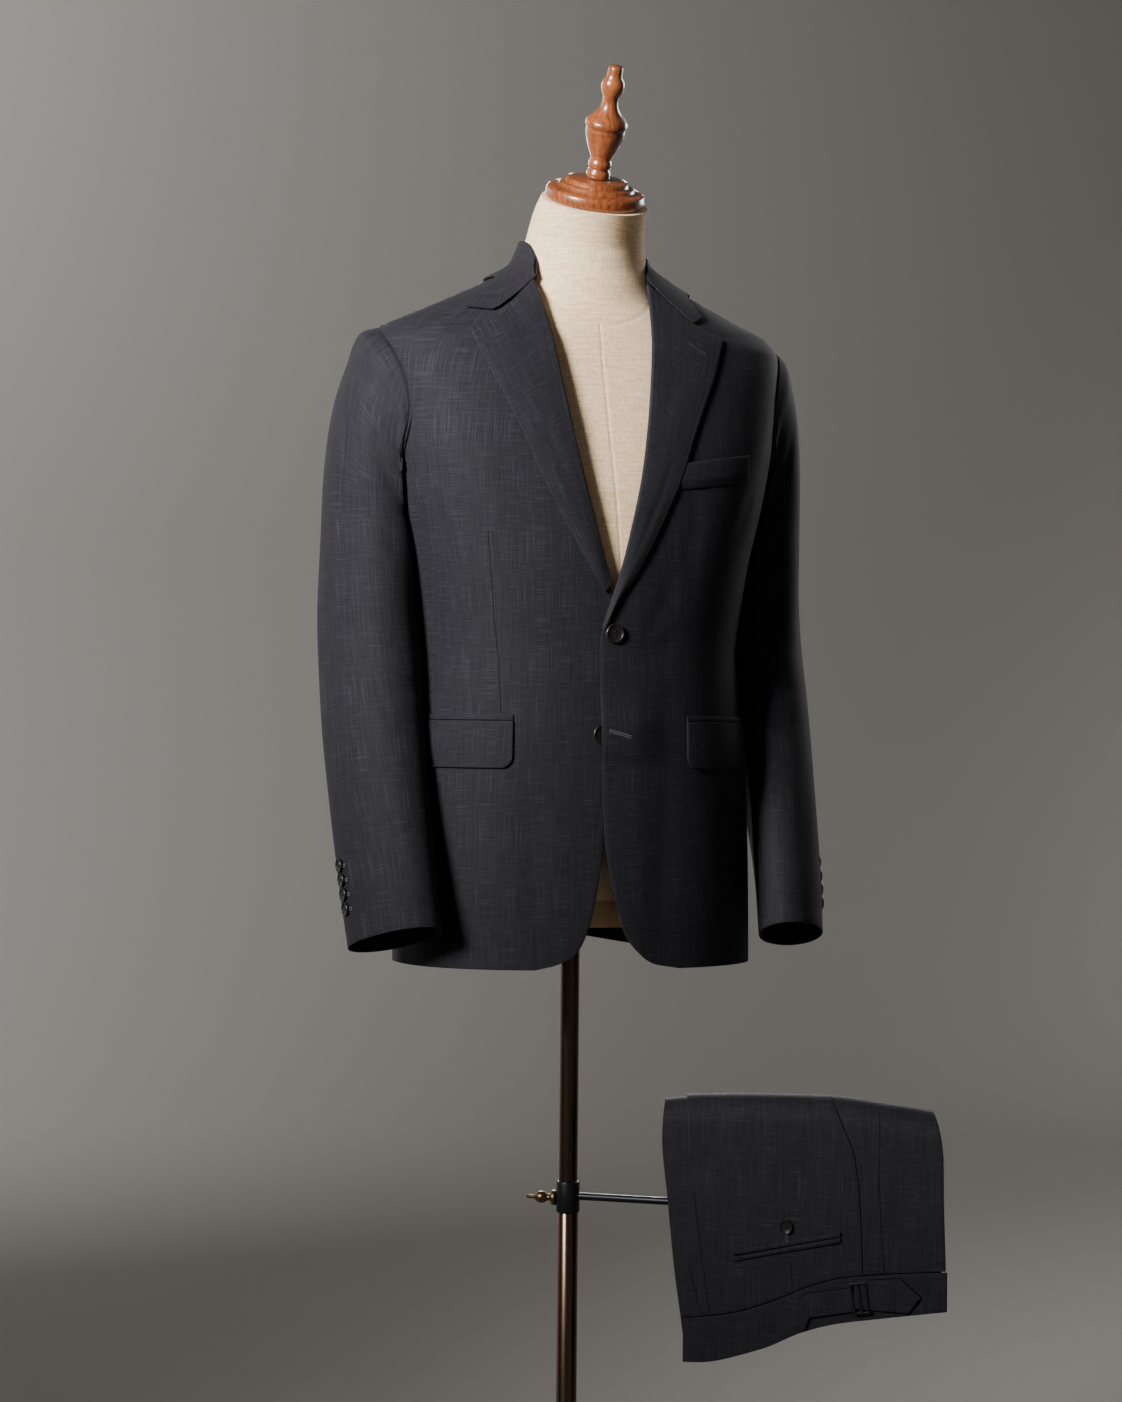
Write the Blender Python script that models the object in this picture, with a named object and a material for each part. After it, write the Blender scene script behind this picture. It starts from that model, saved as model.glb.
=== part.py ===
"""A two-button suit: the jacket worn by a limbless linen dress form on a tube stand, and the
trousers folded over the stand's side arm.

The frame: +Z up, the form's front to -Y, the wearer's left to +X. The origin is the centre of
the base plate's underside, on the stand's axis. All sizes are in metres.
"""
import math
from bisect import bisect_right
from collections import namedtuple

import bmesh
import bpy
import numpy as np
from mathutils import Matrix, Vector

# General sizes of the cloth
CLOTH = 0.0020            # wall of the jacket and trousers
SEAM = 0.0006             # width of the line between two joined panels
ON_PANEL = 0.0007         # lift of a piece that lies on a panel
CENTRE_X = -0.010         # the jacket's centre front line
HEM = 0.7945              # height of the jacket's hem
NECK_SEAM = 1.512         # height where the panels end under the collar

# The jacket's outer face as level sections
Section = namedtuple("Section", "height half_width front back middle squareness")
JACKET = (
    Section(0.780, 0.191, 0.149, 0.134, 0.000, 2.3),
    Section(0.860, 0.190, 0.149, 0.132, 0.000, 2.3),
    Section(0.940, 0.188, 0.147, 0.127, 0.000, 2.3),
    Section(1.020, 0.182, 0.146, 0.117, 0.000, 2.3),
    Section(1.120, 0.173, 0.145, 0.107, 0.000, 2.3),
    Section(1.200, 0.182, 0.148, 0.113, 0.000, 2.4),
    Section(1.280, 0.201, 0.145, 0.122, 0.002, 2.5),
    Section(1.340, 0.213, 0.136, 0.127, 0.004, 2.6),
    Section(1.400, 0.221, 0.122, 0.122, 0.004, 2.6),
    Section(1.440, 0.225, 0.111, 0.110, 0.002, 2.4),
    Section(1.457, 0.214, 0.104, 0.100, 0.000, 2.2),
    Section(1.475, 0.178, 0.096, 0.089, -0.002, 2.1),
    Section(1.495, 0.134, 0.087, 0.076, -0.005, 2.0),
    Section(1.512, 0.100, 0.080, 0.066, -0.008, 2.0),
    Section(1.530, 0.078, 0.076, 0.057, -0.010, 2.0),
    Section(1.560, 0.066, 0.076, 0.048, -0.014, 2.0),
)

# The dress form inside it: the torso, then the neck, which leans forward
FORM = (
    Section(0.836, 0.158, 0.122, 0.105, 0.000, 2.2),
    Section(0.848, 0.164, 0.127, 0.110, 0.000, 2.2),
    Section(0.920, 0.166, 0.131, 0.110, 0.000, 2.2),
    Section(1.020, 0.158, 0.131, 0.098, 0.000, 2.2),
    Section(1.110, 0.151, 0.131, 0.091, 0.000, 2.2),
    Section(1.200, 0.163, 0.140, 0.099, 0.000, 2.3),
    Section(1.280, 0.178, 0.135, 0.107, 0.000, 2.3),
    Section(1.340, 0.187, 0.124, 0.111, 0.002, 2.4),
    Section(1.400, 0.190, 0.111, 0.107, 0.002, 2.4),
    Section(1.430, 0.184, 0.105, 0.099, 0.000, 2.3),
    Section(1.452, 0.160, 0.101, 0.089, -0.002, 2.2),
    Section(1.470, 0.124, 0.096, 0.078, -0.006, 2.1),
    Section(1.486, 0.096, 0.091, 0.068, -0.010, 2.0),
    Section(1.505, 0.0782, 0.089, 0.060, -0.014, 2.0),
    Section(1.525, 0.0692, 0.087, 0.051, -0.018, 2.0),
    Section(1.550, 0.0630, 0.088, 0.037, -0.026, 2.0),
    Section(1.575, 0.0590, 0.0955, 0.021, -0.038, 2.0),
    Section(1.592, 0.0560, 0.1060, 0.000, -0.053, 2.0),
)
NECK_TILT = math.radians(22.0)      # the neck's top plane leans forward by this
FINIAL_TILT = math.radians(26.0)
NECK_TILT_FROM = 1.500              # the level sections start to tip here
FORM_TOP = FORM[-1].height
SOCKET_FROM = 0.700                 # the cutter for the tube's socket starts below the form

# Lines on the fronts, as distances from the centre line towards the panel's own side
FrontEdge = namedtuple("FrontEdge", "height left right")
FRONT_EDGE = (
    FrontEdge(0.7945, 0.0780, 0.0780),
    FrontEdge(0.8000, 0.0470, 0.0560),
    FrontEdge(0.8100, 0.0310, 0.0375),
    FrontEdge(0.8300, 0.0144, 0.0262),
    FrontEdge(0.8650, 0.0041, 0.0167),
    FrontEdge(0.8980, -0.0033, 0.0110),
    FrontEdge(0.9300, -0.0077, 0.0075),
    FrontEdge(1.0000, -0.0107, -0.0030),
    FrontEdge(1.0550, -0.0122, -0.0100),
    FrontEdge(1.1380, -0.0128, -0.0120),
)
Lapel = namedtuple("Lapel", "height roll edge_height edge")
LAPEL = (
    Lapel(1.1380, -0.0128, 1.1360, -0.0118),
    Lapel(1.1720, -0.0020, 1.1650, 0.0015),
    Lapel(1.2030, 0.0085, 1.1950, 0.0200),
    Lapel(1.2466, 0.0202, 1.2400, 0.0460),
    Lapel(1.3090, 0.0355, 1.2940, 0.0735),
    Lapel(1.3830, 0.0481, 1.3500, 0.0960),
    Lapel(1.4440, 0.0564, 1.4070, 0.1220),
    Lapel(1.5030, 0.0625, 1.4480, 0.1380),
)
LAPEL_LINE_DIP = 0.0085     # the notch corner lies this far under the line from roll to tip
LAPEL_THICK = 0.0020
LAPEL_LIFT = 0.0011
LAPEL_TUCK = 0.0012         # the front's own edge stays this far behind the roll line
LAPEL_TUCK_TOP = 0.0110     # and this far at the neck
LAPEL_TUCK_FROM = 1.440
LAPEL_RIGHT_FROM = 0.205    # the right lapel's share of length that the left front covers
OVERLAP_LIFT = 0.0031       # the left front lies this far over the right one at the closing
OVERLAP_WIDE = 0.018
OVERLAP_REACH = 0.050
BUTTON_BULGE = 0.0040       # and this much further over the unfastened lower button
BUTTON_BULGE_TALL = 0.026

# Armhole, seen from the side
ARMHOLE_HEIGHT = 1.3725
ARMHOLE_HALF_HEIGHT = 0.0830
ARMHOLE_Y = 0.0100
ARMHOLE_FRONT = 0.0720
ARMHOLE_BACK = 0.0600
SHOULDER_SEAM = math.radians(92.6)
FRONT_SEAM = math.radians(84.0)
BACK_SEAM = math.radians(108.0)

# Sleeve sections: along and across are half sizes, turn is how far the front edge faces inward,
# tip is how much higher the front of the ring lies for each metre of its depth
Ring = namedtuple("Ring", "drop height x y along across turn tip")
SLEEVE = (
    Ring(0.00, 1.260, 0.2150, 0.0250, 0.0655, 0.0520, 8.0, 0.00),
    Ring(0.24, 1.155, 0.2220, 0.0190, 0.0640, 0.0460, 20.0, 0.05),
    Ring(0.46, 1.060, 0.2230, -0.0040, 0.0620, 0.0450, 27.0, 0.15),
    Ring(0.69, 0.960, 0.2235, -0.0370, 0.0590, 0.0400, 31.0, 0.25),
    Ring(0.87, 0.880, 0.2225, -0.0650, 0.0560, 0.0350, 35.0, 0.30),
    Ring(1.00, 0.824, 0.2195, -0.0820, 0.0550, 0.0330, 35.4, 0.33),
)
SLEEVE_HEAD_X = 0.262       # how far the sleeve head reaches before it turns down
SLEEVE_CLEAR = 0.0030       # least gap between the sleeve and the body of the jacket
SLEEVE_SOFT = 0.0040        # how softly it bears on that gap
SLEEVE_SPLIT = 0.30         # share of the rows that make the head
SLEEVE_FRONT_SEAM = 118.0   # degrees around the sleeve, 0 outside, 90 in front
SLEEVE_BACK_SEAM = 256.0
SLEEVE_CUFF_SEAM = 300.0    # the back seam runs round to here at the cuff, beside the buttons
CUFF_BUTTONS = (0.898, 0.8835, 0.869, 0.8545)
CUFF_BUTTON_TURN = 320.0
ARMHOLE_GAP = 0.0012        # the sleeve starts this far out from the panels' edge
ARMHOLE_FRONT_OUT = 0.0006  # and this much further out in front
ARMPIT_OUT = 0.0042         # and this far out under the arm
SLEEVE_SEAM = 0.0018
SLEEVE_RADIUS = 0.05

# Collar lines: degrees around the neck from the front, and the heights there
CollarLine = namedtuple("CollarLine", "share fold_turn fold edge_turn edge seam")
COLLAR = (
    CollarLine(0.00, 45.0, 1.5075, 60.0, 1.4715, 1.5050),
    CollarLine(0.08, 55.0, 1.5270, 69.0, 1.4870, 1.5155),
    CollarLine(0.20, 74.0, 1.5450, 83.0, 1.5020, 1.5155),
    CollarLine(0.32, 95.0, 1.5510, 98.0, 1.5110, 1.5155),
    CollarLine(0.50, 130.0, 1.5545, 130.0, 1.5140, 1.5155),
    CollarLine(1.00, 180.0, 1.5560, 180.0, 1.5155, 1.5155),
)
COLLAR_LEAF_OUT = 0.0027    # middle of the leaf over the panels
COLLAR_STAND_OUT = -0.0009  # middle of the stand inside it
COLLAR_THICK = 0.0018
COLLAR_END_DIP = 0.0165
NECK_RADIUS = 0.095
COLLAR_LEFT_LOWER = 0.0110  # the collar sits this much lower on the wearer's left shoulder

# Pockets and buttons of the jacket
FLAP_INNER = 0.092
POCKET_CENTRE_X = -0.0165   # the hip pockets sit this far to the right of the stand's axis
FLAP_LENGTH = 0.150
FLAP_TOP = 1.0475
FLAP_DEPTH = 0.0480
FLAP_CORNER = 0.0120
FLAP_THICK = 0.0022
JET_HEIGHT = 0.0055
JET_THICK = 0.0012
WELT_GAP = 0.0012           # between the lapel's edge and the welt
WELT_OUTER_X = 0.152
WELT_INNER_TOP = 1.3150
WELT_OUTER_TOP = 1.3277
WELT_DEPTH = 0.0290
WELT_THICK = 0.0020
FRONT_BUTTON_RADIUS = 0.0100
FRONT_BUTTON_THICK = 0.0034
CUFF_BUTTON_RADIUS = 0.0072
CUFF_BUTTON_THICK = 0.0030
TOP_BUTTON = (0.0010, 1.1376)       # distance from the centre line and height
LOW_BUTTON = (0.0105, 1.0345)
BUTTON_LIFT = 0.0004
CUFF_BUTTON_LIFT = 0.0003

# Stand
BASE_RADIUS = 0.175
BASE_THICK = 0.012
BOSS_RADIUS = 0.021
BOSS_TOP = 0.050
LOWER_TUBE_RADIUS = 0.0110
LOWER_TUBE_TOP = 0.5250
UPPER_TUBE_RADIUS = 0.0100
UPPER_TUBE_BOTTOM = 0.2500
UPPER_TUBE_TOP = 0.8800
SLIP = 0.0003                       # running gap between the stand's sliding pieces
CLAMP_BOTTOM = 0.5255
CLAMP_TOP = 0.5590
CLAMP_RADIUS = 0.0125
ARM_TURN = math.radians(-38.0)      # direction of the side arm from +X
ARM_HEIGHT = 0.5430
ARM_RADIUS = 0.0040
ARM_RISE_AT = 0.150                 # where the arm turns up inside the trousers
ARM_END = 0.385
RAIL_HEIGHT = 0.6340
ARM_BEND = 0.016

# Trousers over the arm: u runs along the arm from the stand's axis, w towards the viewer
Edge = namedtuple("Edge", "height left seam right")
TROUSER_EDGES = (
    Edge(0.380, 0.1390, 0.3270, 0.4140),
    Edge(0.4254, 0.1335, 0.3268, 0.4138),
    Edge(0.4600, 0.1375, 0.3265, 0.4130),
    Edge(0.5000, 0.1395, 0.3258, 0.4120),
    Edge(0.5592, 0.1398, 0.3224, 0.4098),
    Edge(0.6030, 0.1395, 0.3167, 0.4090),
    Edge(0.6350, 0.1380, 0.3040, 0.4050),
    Edge(0.6620, 0.1370, 0.2931, 0.3975),
)
Line = namedtuple("Line", "u height")
WAIST_SEAM = (Line(0.1326, 0.4254), Line(0.1866, 0.4342), Line(0.2282, 0.4484),
              Line(0.2743, 0.4689), Line(0.3042, 0.4780), Line(0.3492, 0.4844),
              Line(0.4140, 0.4909))
WAIST_EDGE = (Line(0.1326, 0.3800), Line(0.1515, 0.3808), Line(0.2191, 0.3991),
              Line(0.2636, 0.4197), Line(0.2973, 0.4302), Line(0.3423, 0.4384),
              Line(0.4140, 0.4503))
FOLD_TOP = (Line(0.1100, 0.6530), Line(0.1300, 0.6560), Line(0.2100, 0.6605),
            Line(0.2900, 0.6620), Line(0.3480, 0.6570), Line(0.3975, 0.6515),
            Line(0.4140, 0.6480))
LAYER_LEFT = (Line(0.1390, 0.380), Line(0.1326, 0.425), Line(0.1257, 0.471),
              Line(0.1173, 0.548), Line(0.1114, 0.606), Line(0.1142, 0.654))
FRONT_FACE = 0.0240         # the outer face towards the viewer, from the arm's axis
REAR_FACE = 0.0310
SLOT = 0.0056               # half the gap for the rail
REAR_ABOVE = 0.020          # the folded legs end this far above the waistband's edge
LAYER_GAP = 0.0004          # between the outer cloth and the layers inside
LAYER_ABOVE = 0.004         # the layers inside end this far from the outer one's edges
SHEAR = 0.30                # each layer behind lies this much nearer to the stand for its depth
WAISTBAND_THICK = 0.0026
WAISTBAND_LEFT = 0.1350
WAISTBAND_RIGHT = 0.4138
WAISTBAND_LIFT = 0.0004
POCKET_LINE = (Line(0.1892, 0.4943), Line(0.3038, 0.5204))
POCKET_LEFT = 0.1900
POCKET_RIGHT = 0.3030
POCKET_JET = 0.0054         # height of each jet of the back pocket
POCKET_BUTTON = Line(0.2456, 0.5275)
STRAP_THICK = 0.0016        # the side adjuster: a strap, a tab and a buckle on the waistband
STRAP_LOW = (Line(0.2517, 0.4392), Line(0.2655, 0.4195), Line(0.2709, 0.4357),
             Line(0.3172, 0.4452))
STRAP_TOP = (Line(0.2517, 0.4406), Line(0.2655, 0.4588), Line(0.2709, 0.4604),
             Line(0.3172, 0.4692))
TAB_LOW = (Line(0.3330, 0.4480), Line(0.3745, 0.4470), Line(0.3868, 0.4632))
TAB_TOP = (Line(0.3330, 0.4775), Line(0.3655, 0.4815), Line(0.3868, 0.4646))
STRAP_ENDS = (0.2517, 0.3170)
TAB_ENDS = (0.3180, 0.3868)
BUCKLE_U = 0.3245
BUCKLE_HEIGHT = 0.4590
BUCKLE_WIDE = 0.0185
BUCKLE_TALL = 0.0330
BUCKLE_BAR = 0.0026
BUCKLE_THICK = 0.0018
BUCKLE_TILT = math.radians(9.0)


def curve(keys, values):
    """A smooth line through the pairs, that never swings past them."""
    keys = [float(key) for key in keys]
    values = [float(value) for value in values]
    steps = [
        (right - left) / (after - before)
        for before, after, left, right in zip(keys, keys[1:], values, values[1:])
    ]
    slopes = [steps[0]]
    for left, right in zip(steps, steps[1:]):
        slopes.append(0.0 if left * right <= 0 else 2 * left * right / (left + right))
    slopes.append(steps[-1])

    def at(key):
        key = min(max(key, keys[0]), keys[-1])
        i = min(bisect_right(keys, key), len(keys) - 1) - 1
        span = keys[i + 1] - keys[i]
        u = (key - keys[i]) / span
        return (
            values[i] * (1 + 2 * u) * (1 - u) ** 2
            + values[i + 1] * (3 - 2 * u) * u * u
            + span * (slopes[i] * u * (1 - u) ** 2 - slopes[i + 1] * u * u * (1 - u))
        )

    return at


def columns(rows):
    """One smooth line for each column of a table after the first, which is the key."""
    keys = [row[0] for row in rows]
    return [curve(keys, [row[i] for row in rows]) for i in range(1, len(rows[0]))]


def mix(a, b, share):
    return a + (b - a) * share


def ease(share):
    share = min(max(share, 0.0), 1.0)
    return share * share * (3 - 2 * share)


class Body:
    """A closed upright surface made of level sections."""

    def __init__(self, rows):
        self.half_width, self.front, self.back, self.middle, self.squareness = columns(rows)

    def around(self, turn, height):
        """The point at this angle from the front, positive towards the wearer's left."""
        middle = self.middle(height)
        power = self.squareness(height)
        c = math.cos(turn)
        s = math.sin(turn)
        depth = self.front(height) + middle if c > 0 else self.back(height) - middle
        reach = (abs(s) / self.half_width(height)) ** power + (abs(c) / depth) ** power
        reach = reach ** (-1 / power)
        return Vector((reach * s, middle - reach * c, height))

    def side_x(self, y, height):
        middle = self.middle(height)
        power = self.squareness(height)
        depth = self.front(height) + middle if y < middle else self.back(height) - middle
        left = max(0.0, 1 - (abs(y - middle) / depth) ** power)
        return self.half_width(height) * left ** (1 / power)

    def turn_at_x(self, x, height):
        """The angle of the front point with this x."""
        middle = self.middle(height)
        power = self.squareness(height)
        depth = self.front(height) + middle
        left = max(0.0, 1 - (abs(x) / self.half_width(height)) ** power)
        return math.atan2(x, depth * left ** (1 / power))

    def turn_at_y(self, y, height):
        """The angle of the wearer's left point with this y."""
        return math.atan2(self.side_x(y, height), self.middle(height) - y)


jacket = Body(JACKET)
form = Body(FORM)
edge_left, edge_right = columns(FRONT_EDGE)
LAPEL_SHARES = [i / (len(LAPEL) - 1) for i in range(len(LAPEL))]
roll_height = curve(LAPEL_SHARES, [row.height for row in LAPEL])
roll_out = curve(LAPEL_SHARES, [row.roll for row in LAPEL])
lapel_height = curve(LAPEL_SHARES, [row.edge_height for row in LAPEL])
lapel_out = curve(LAPEL_SHARES, [row.edge for row in LAPEL])
roll_at = curve([row.height for row in LAPEL], [row.roll for row in LAPEL])
lapel_edge_at = curve([row.edge_height for row in LAPEL], [row.edge for row in LAPEL])
BREAK = LAPEL[0].height
waist_seam = curve([row.u for row in WAIST_SEAM], [row.height for row in WAIST_SEAM])
waist_edge = curve([row.u for row in WAIST_EDGE], [row.height for row in WAIST_EDGE])
fold_top = curve([row.u for row in FOLD_TOP], [row.height for row in FOLD_TOP])
layer_left = curve([row.height for row in LAYER_LEFT], [row.u for row in LAYER_LEFT])
trouser_left, trouser_seam, trouser_right = columns(TROUSER_EDGES)


def normal_of(surface, s, t, step=0.002):
    """Unit normal of a surface given over the unit square."""
    s0, s1 = max(s - step, 0.0), min(s + step, 1.0)
    t0, t1 = max(t - step, 0.0), min(t + step, 1.0)
    across = surface(s1, t) - surface(s0, t)
    along = surface(s, t1) - surface(s, t0)
    return across.cross(along).normalized()


def moved(surface, s, t, out, side=1):
    return surface(s, t) + normal_of(surface, s, t) * out * side


# Materials and objects
Look = namedtuple("Look", "colour roughness metallic")
LOOKS = {
    "suit_cloth": Look((0.035, 0.036, 0.044), 0.80, 0.0),
    "linen": Look((0.72, 0.66, 0.57), 0.90, 0.0),
    "wood": Look((0.19, 0.055, 0.025), 0.25, 0.0),
    "bronze_tube": Look((0.09, 0.065, 0.05), 0.30, 1.0),
    "black_metal": Look((0.02, 0.02, 0.022), 0.45, 1.0),
    "horn": Look((0.015, 0.014, 0.016), 0.25, 0.0),
    "aged_brass": Look((0.20, 0.15, 0.09), 0.40, 1.0),
}


def material(name):
    found = bpy.data.materials.get(name)
    if found:
        return found
    look = LOOKS[name]
    made = bpy.data.materials.new(name)
    made.use_nodes = True
    shader = made.node_tree.nodes["Principled BSDF"]
    shader.inputs["Base Color"].default_value = (*look.colour, 1.0)
    shader.inputs["Roughness"].default_value = look.roughness
    shader.inputs["Metallic"].default_value = look.metallic
    return made


def add_object(name, bm, look, parent=None, smooth_angle=40.0):
    """A mesh object from the finished bmesh, shaded smooth up to the given angle."""
    bmesh.ops.recalc_face_normals(bm, faces=bm.faces[:])
    if bm.calc_volume(signed=True) < 0:
        bmesh.ops.reverse_faces(bm, faces=bm.faces[:])
    mesh = bpy.data.meshes.new(name)
    bm.to_mesh(mesh)
    bm.free()
    mesh.materials.append(material(look))
    mesh.shade_smooth()
    mesh.set_sharp_from_angle(angle=math.radians(smooth_angle))
    obj = bpy.data.objects.new(name, mesh)
    bpy.context.scene.collection.objects.link(obj)
    obj.parent = parent
    return obj


def wall(name, place, across, along, look="suit_cloth", parent=None):
    """A sheet with thickness. place(s, t, inner) gives the points of its two faces."""
    bm = bmesh.new()
    bmesh.ops.create_grid(bm, x_segments=across, y_segments=along, size=0.5)
    shell = bmesh.ops.extrude_face_region(bm, geom=bm.faces[:])
    outer = {item for item in shell["geom"] if isinstance(item, bmesh.types.BMVert)}
    for vert in bm.verts:
        s, t = vert.co.x + 0.5, vert.co.y + 0.5
        vert.co = place(min(max(s, 0.0), 1.0), min(max(t, 0.0), 1.0), vert not in outer)
    return add_object(name, bm, look, parent)


def panel(name, surface, across, along, side=1, thickness=CLOTH, lift=0.0, **rest):
    """A wall whose outer face is the surface, moved out by lift."""

    def place(s, t, inner):
        return moved(surface, s, t, lift - thickness if inner else lift, side)

    return wall(name, place, across, along, **rest)


def turned(name, profile, steps, look, parent=None, smooth_angle=40.0):
    """A solid of revolution about Z, from (radius, height) pairs that start and end on the axis
    or close on themselves."""
    bm = bmesh.new()
    points = [bm.verts.new((radius, 0.0, height)) for radius, height in profile]
    on_axis = profile[0][0] == 0.0
    pairs = list(zip(points, points[1:]))
    if not on_axis:
        pairs.append((points[-1], points[0]))
    lines = [bm.edges.new(pair) for pair in pairs]
    bmesh.ops.spin(bm, geom=points + lines, cent=(0, 0, 0), axis=(0, 0, 1),
                   angle=math.tau, steps=steps, use_merge=True)
    bmesh.ops.remove_doubles(bm, verts=bm.verts[:], dist=1e-6)
    return add_object(name, bm, look, parent, smooth_angle)


def empty(name, location, rotation=None, parent=None):
    obj = bpy.data.objects.new(name, None)
    bpy.context.scene.collection.objects.link(obj)
    obj.location = location
    if rotation:
        obj.rotation_euler = rotation
    obj.parent = parent
    return obj


# Jacket
def heights(rows):
    """Maps 0..1 to the listed heights, one share for each step between them."""
    shares = [i / (len(rows) - 1) for i in range(len(rows))]
    return lambda t: float(np.interp(t, shares, rows))


FRONT_ROWS = (HEM, 0.798, 0.804, 0.815, 0.835, 0.865, 0.905, 0.955, 1.000, 1.018, 1.034, 1.050,
              1.090, 1.140, 1.190, 1.240, 1.285, 1.320, 1.350, 1.385, 1.415, 1.435, 1.448,
              1.458, 1.468, 1.480, 1.495, NECK_SEAM)
BACK_ROWS = (HEM, 0.850, 0.910, 0.970, 1.030, 1.090, 1.140, 1.190, 1.240, 1.290, 1.330, 1.370,
             1.405, 1.430, 1.447, 1.458, 1.468, 1.480, 1.495, NECK_SEAM)
SIDE_ROWS = (HEM, 0.850, 0.910, 0.970, 1.030, 1.090, 1.140, 1.190, 1.240, 1.285, 1.320)
ARMHOLE_TOP = ARMHOLE_HEIGHT + ARMHOLE_HALF_HEIGHT


def armhole_y(height, back):
    """y of the armhole's front or back line at this height."""
    level = (height - ARMHOLE_HEIGHT) / ARMHOLE_HALF_HEIGHT
    reach = math.sqrt(max(0.0, 1 - level * level))
    return ARMHOLE_Y + reach * (ARMHOLE_BACK if back else -ARMHOLE_FRONT)


def seam_meets_armhole(back):
    """Height where the side seam runs into the lower half of the armhole."""
    seam = BACK_SEAM if back else FRONT_SEAM
    low = ARMHOLE_HEIGHT - ARMHOLE_HALF_HEIGHT
    high = ARMHOLE_HEIGHT
    for _ in range(40):
        height = (low + high) / 2
        turn = jacket.turn_at_y(armhole_y(height, back), height)
        inside = turn < seam if back else turn > seam
        low, high = (height, high) if inside else (low, height)
    return (low + high) / 2


MEET_FRONT = seam_meets_armhole(False)
MEET_BACK = seam_meets_armhole(True)


def outer_turn(height, back):
    """Where a front or back panel ends: side seam, then armhole, then shoulder seam."""
    meet = MEET_BACK if back else MEET_FRONT
    if height < meet:
        turn = BACK_SEAM if back else FRONT_SEAM
    elif height < ARMHOLE_TOP:
        turn = jacket.turn_at_y(armhole_y(height, back), height)
    else:
        turn = SHOULDER_SEAM
    gap = SEAM / 2 / jacket.half_width(height)
    return turn + gap if back else turn - gap


def own_side(out, side):
    """x of a point that lies this far from the centre line towards the panel's own side."""
    return CENTRE_X + side * out


def front_inner(height, side):
    """Distance from the centre line to the front panel's inner boundary."""
    if height < BREAK:
        return edge_left(height) if side > 0 else edge_right(height)
    tuck = mix(LAPEL_TUCK, LAPEL_TUCK_TOP, ease((height - LAPEL_TUCK_FROM) / 0.06))
    return roll_at(height) + tuck * ease((height - BREAK) / 0.03)


def overlap_lift(x, height, side):
    """The left front rides over the right one near the closing."""
    if side < 0:
        return 0.0
    near = 1 - ease((x - CENTRE_X - OVERLAP_WIDE) / OVERLAP_REACH)
    over_button = math.exp(-(((height - LOW_BUTTON[1]) / BUTTON_BULGE_TALL) ** 4))
    lift = OVERLAP_LIFT * (1 - ease((height - 1.22) / 0.10)) + BUTTON_BULGE * over_button
    return lift * near


def front_surface(side):
    row = heights(FRONT_ROWS)

    def surface(s, t):
        height = row(t)
        inner = jacket.turn_at_x(own_side(front_inner(height, side), side), height) * side
        turn = mix(inner, outer_turn(height, False), s ** 0.9) * side
        point = jacket.around(turn, height)
        lift = overlap_lift(point.x, height, side)
        return point + Vector((math.sin(turn), -math.cos(turn), 0.0)) * lift

    return surface


def on_front(x, height, side):
    """The finished outer face of a front, at this x and height."""
    turn = jacket.turn_at_x(x, height)
    point = jacket.around(turn, height)
    lift = overlap_lift(x, height, side)
    return point + Vector((math.sin(turn), -math.cos(turn), 0.0)) * lift


def side_surface(side):
    row = heights(SIDE_ROWS)

    def surface(s, t):
        height = row(t)
        gap = SEAM / 2 / jacket.half_width(height)
        turn = mix(FRONT_SEAM + gap, BACK_SEAM - gap, s)
        y = jacket.around(turn, 1.31).y - ARMHOLE_Y
        half = ARMHOLE_FRONT if y < 0 else ARMHOLE_BACK
        level = math.sqrt(max(0.0, 1 - (y / half) ** 2))
        top = ARMHOLE_HEIGHT - ARMHOLE_HALF_HEIGHT * level
        height = HEM + (height - HEM) * (top - HEM) / (SIDE_ROWS[-1] - HEM)
        return jacket.around(turn * side, height)

    return surface


def back_surface(side):
    row = heights(BACK_ROWS)

    def surface(s, t):
        height = row(t)
        gap = SEAM / 2 / jacket.back(height)
        turn = mix(math.pi - gap, outer_turn(height, True), s ** 0.95)
        return jacket.around(turn * side, height)

    return surface


def armhole_point(turn):
    """Where the sleeve starts, just inside the armhole's edge, on the wearer's left: 0 at the
    shoulder, 90 degrees in front, 180 under the arm."""
    reach = math.sin(turn)
    under = max(0.0, -math.cos(turn))
    y = ARMHOLE_Y - reach * ((ARMHOLE_FRONT if reach > 0 else ARMHOLE_BACK) - ARMHOLE_GAP)
    height = ARMHOLE_HEIGHT + (ARMHOLE_HALF_HEIGHT - ARMHOLE_GAP) * math.cos(turn)
    out = mix(ARMHOLE_GAP + ARMHOLE_FRONT_OUT * reach ** 2, ARMPIT_OUT, under)
    return Vector((jacket.side_x(y, height) + out, y, height))


sleeve_height, sleeve_x, sleeve_y, sleeve_along, sleeve_across, sleeve_turn, sleeve_tip = (
    columns(SLEEVE)
)


def clear_of_body(point, gap):
    """Pushes a sleeve point softly outward, so that it hangs beside the body."""
    limit = jacket.side_x(point.y, point.z) + gap
    past = (point.x - limit) / SLEEVE_SOFT
    point.x = limit + SLEEVE_SOFT * (past if past > 30 else math.log1p(math.exp(past)))
    return point


def sleeve_ring(turn, drop):
    facing = math.radians(sleeve_turn(drop))
    out = Vector((math.cos(facing), -math.sin(facing), 0.0))
    front = Vector((-math.sin(facing), -math.cos(facing), 0.0))
    reach = (out * sleeve_across(drop) * math.cos(turn)
             + front * sleeve_along(drop) * math.sin(turn))
    reach.z = -sleeve_tip(drop) * reach.y
    return Vector((sleeve_x(drop), sleeve_y(drop), sleeve_height(drop))) + reach


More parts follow.
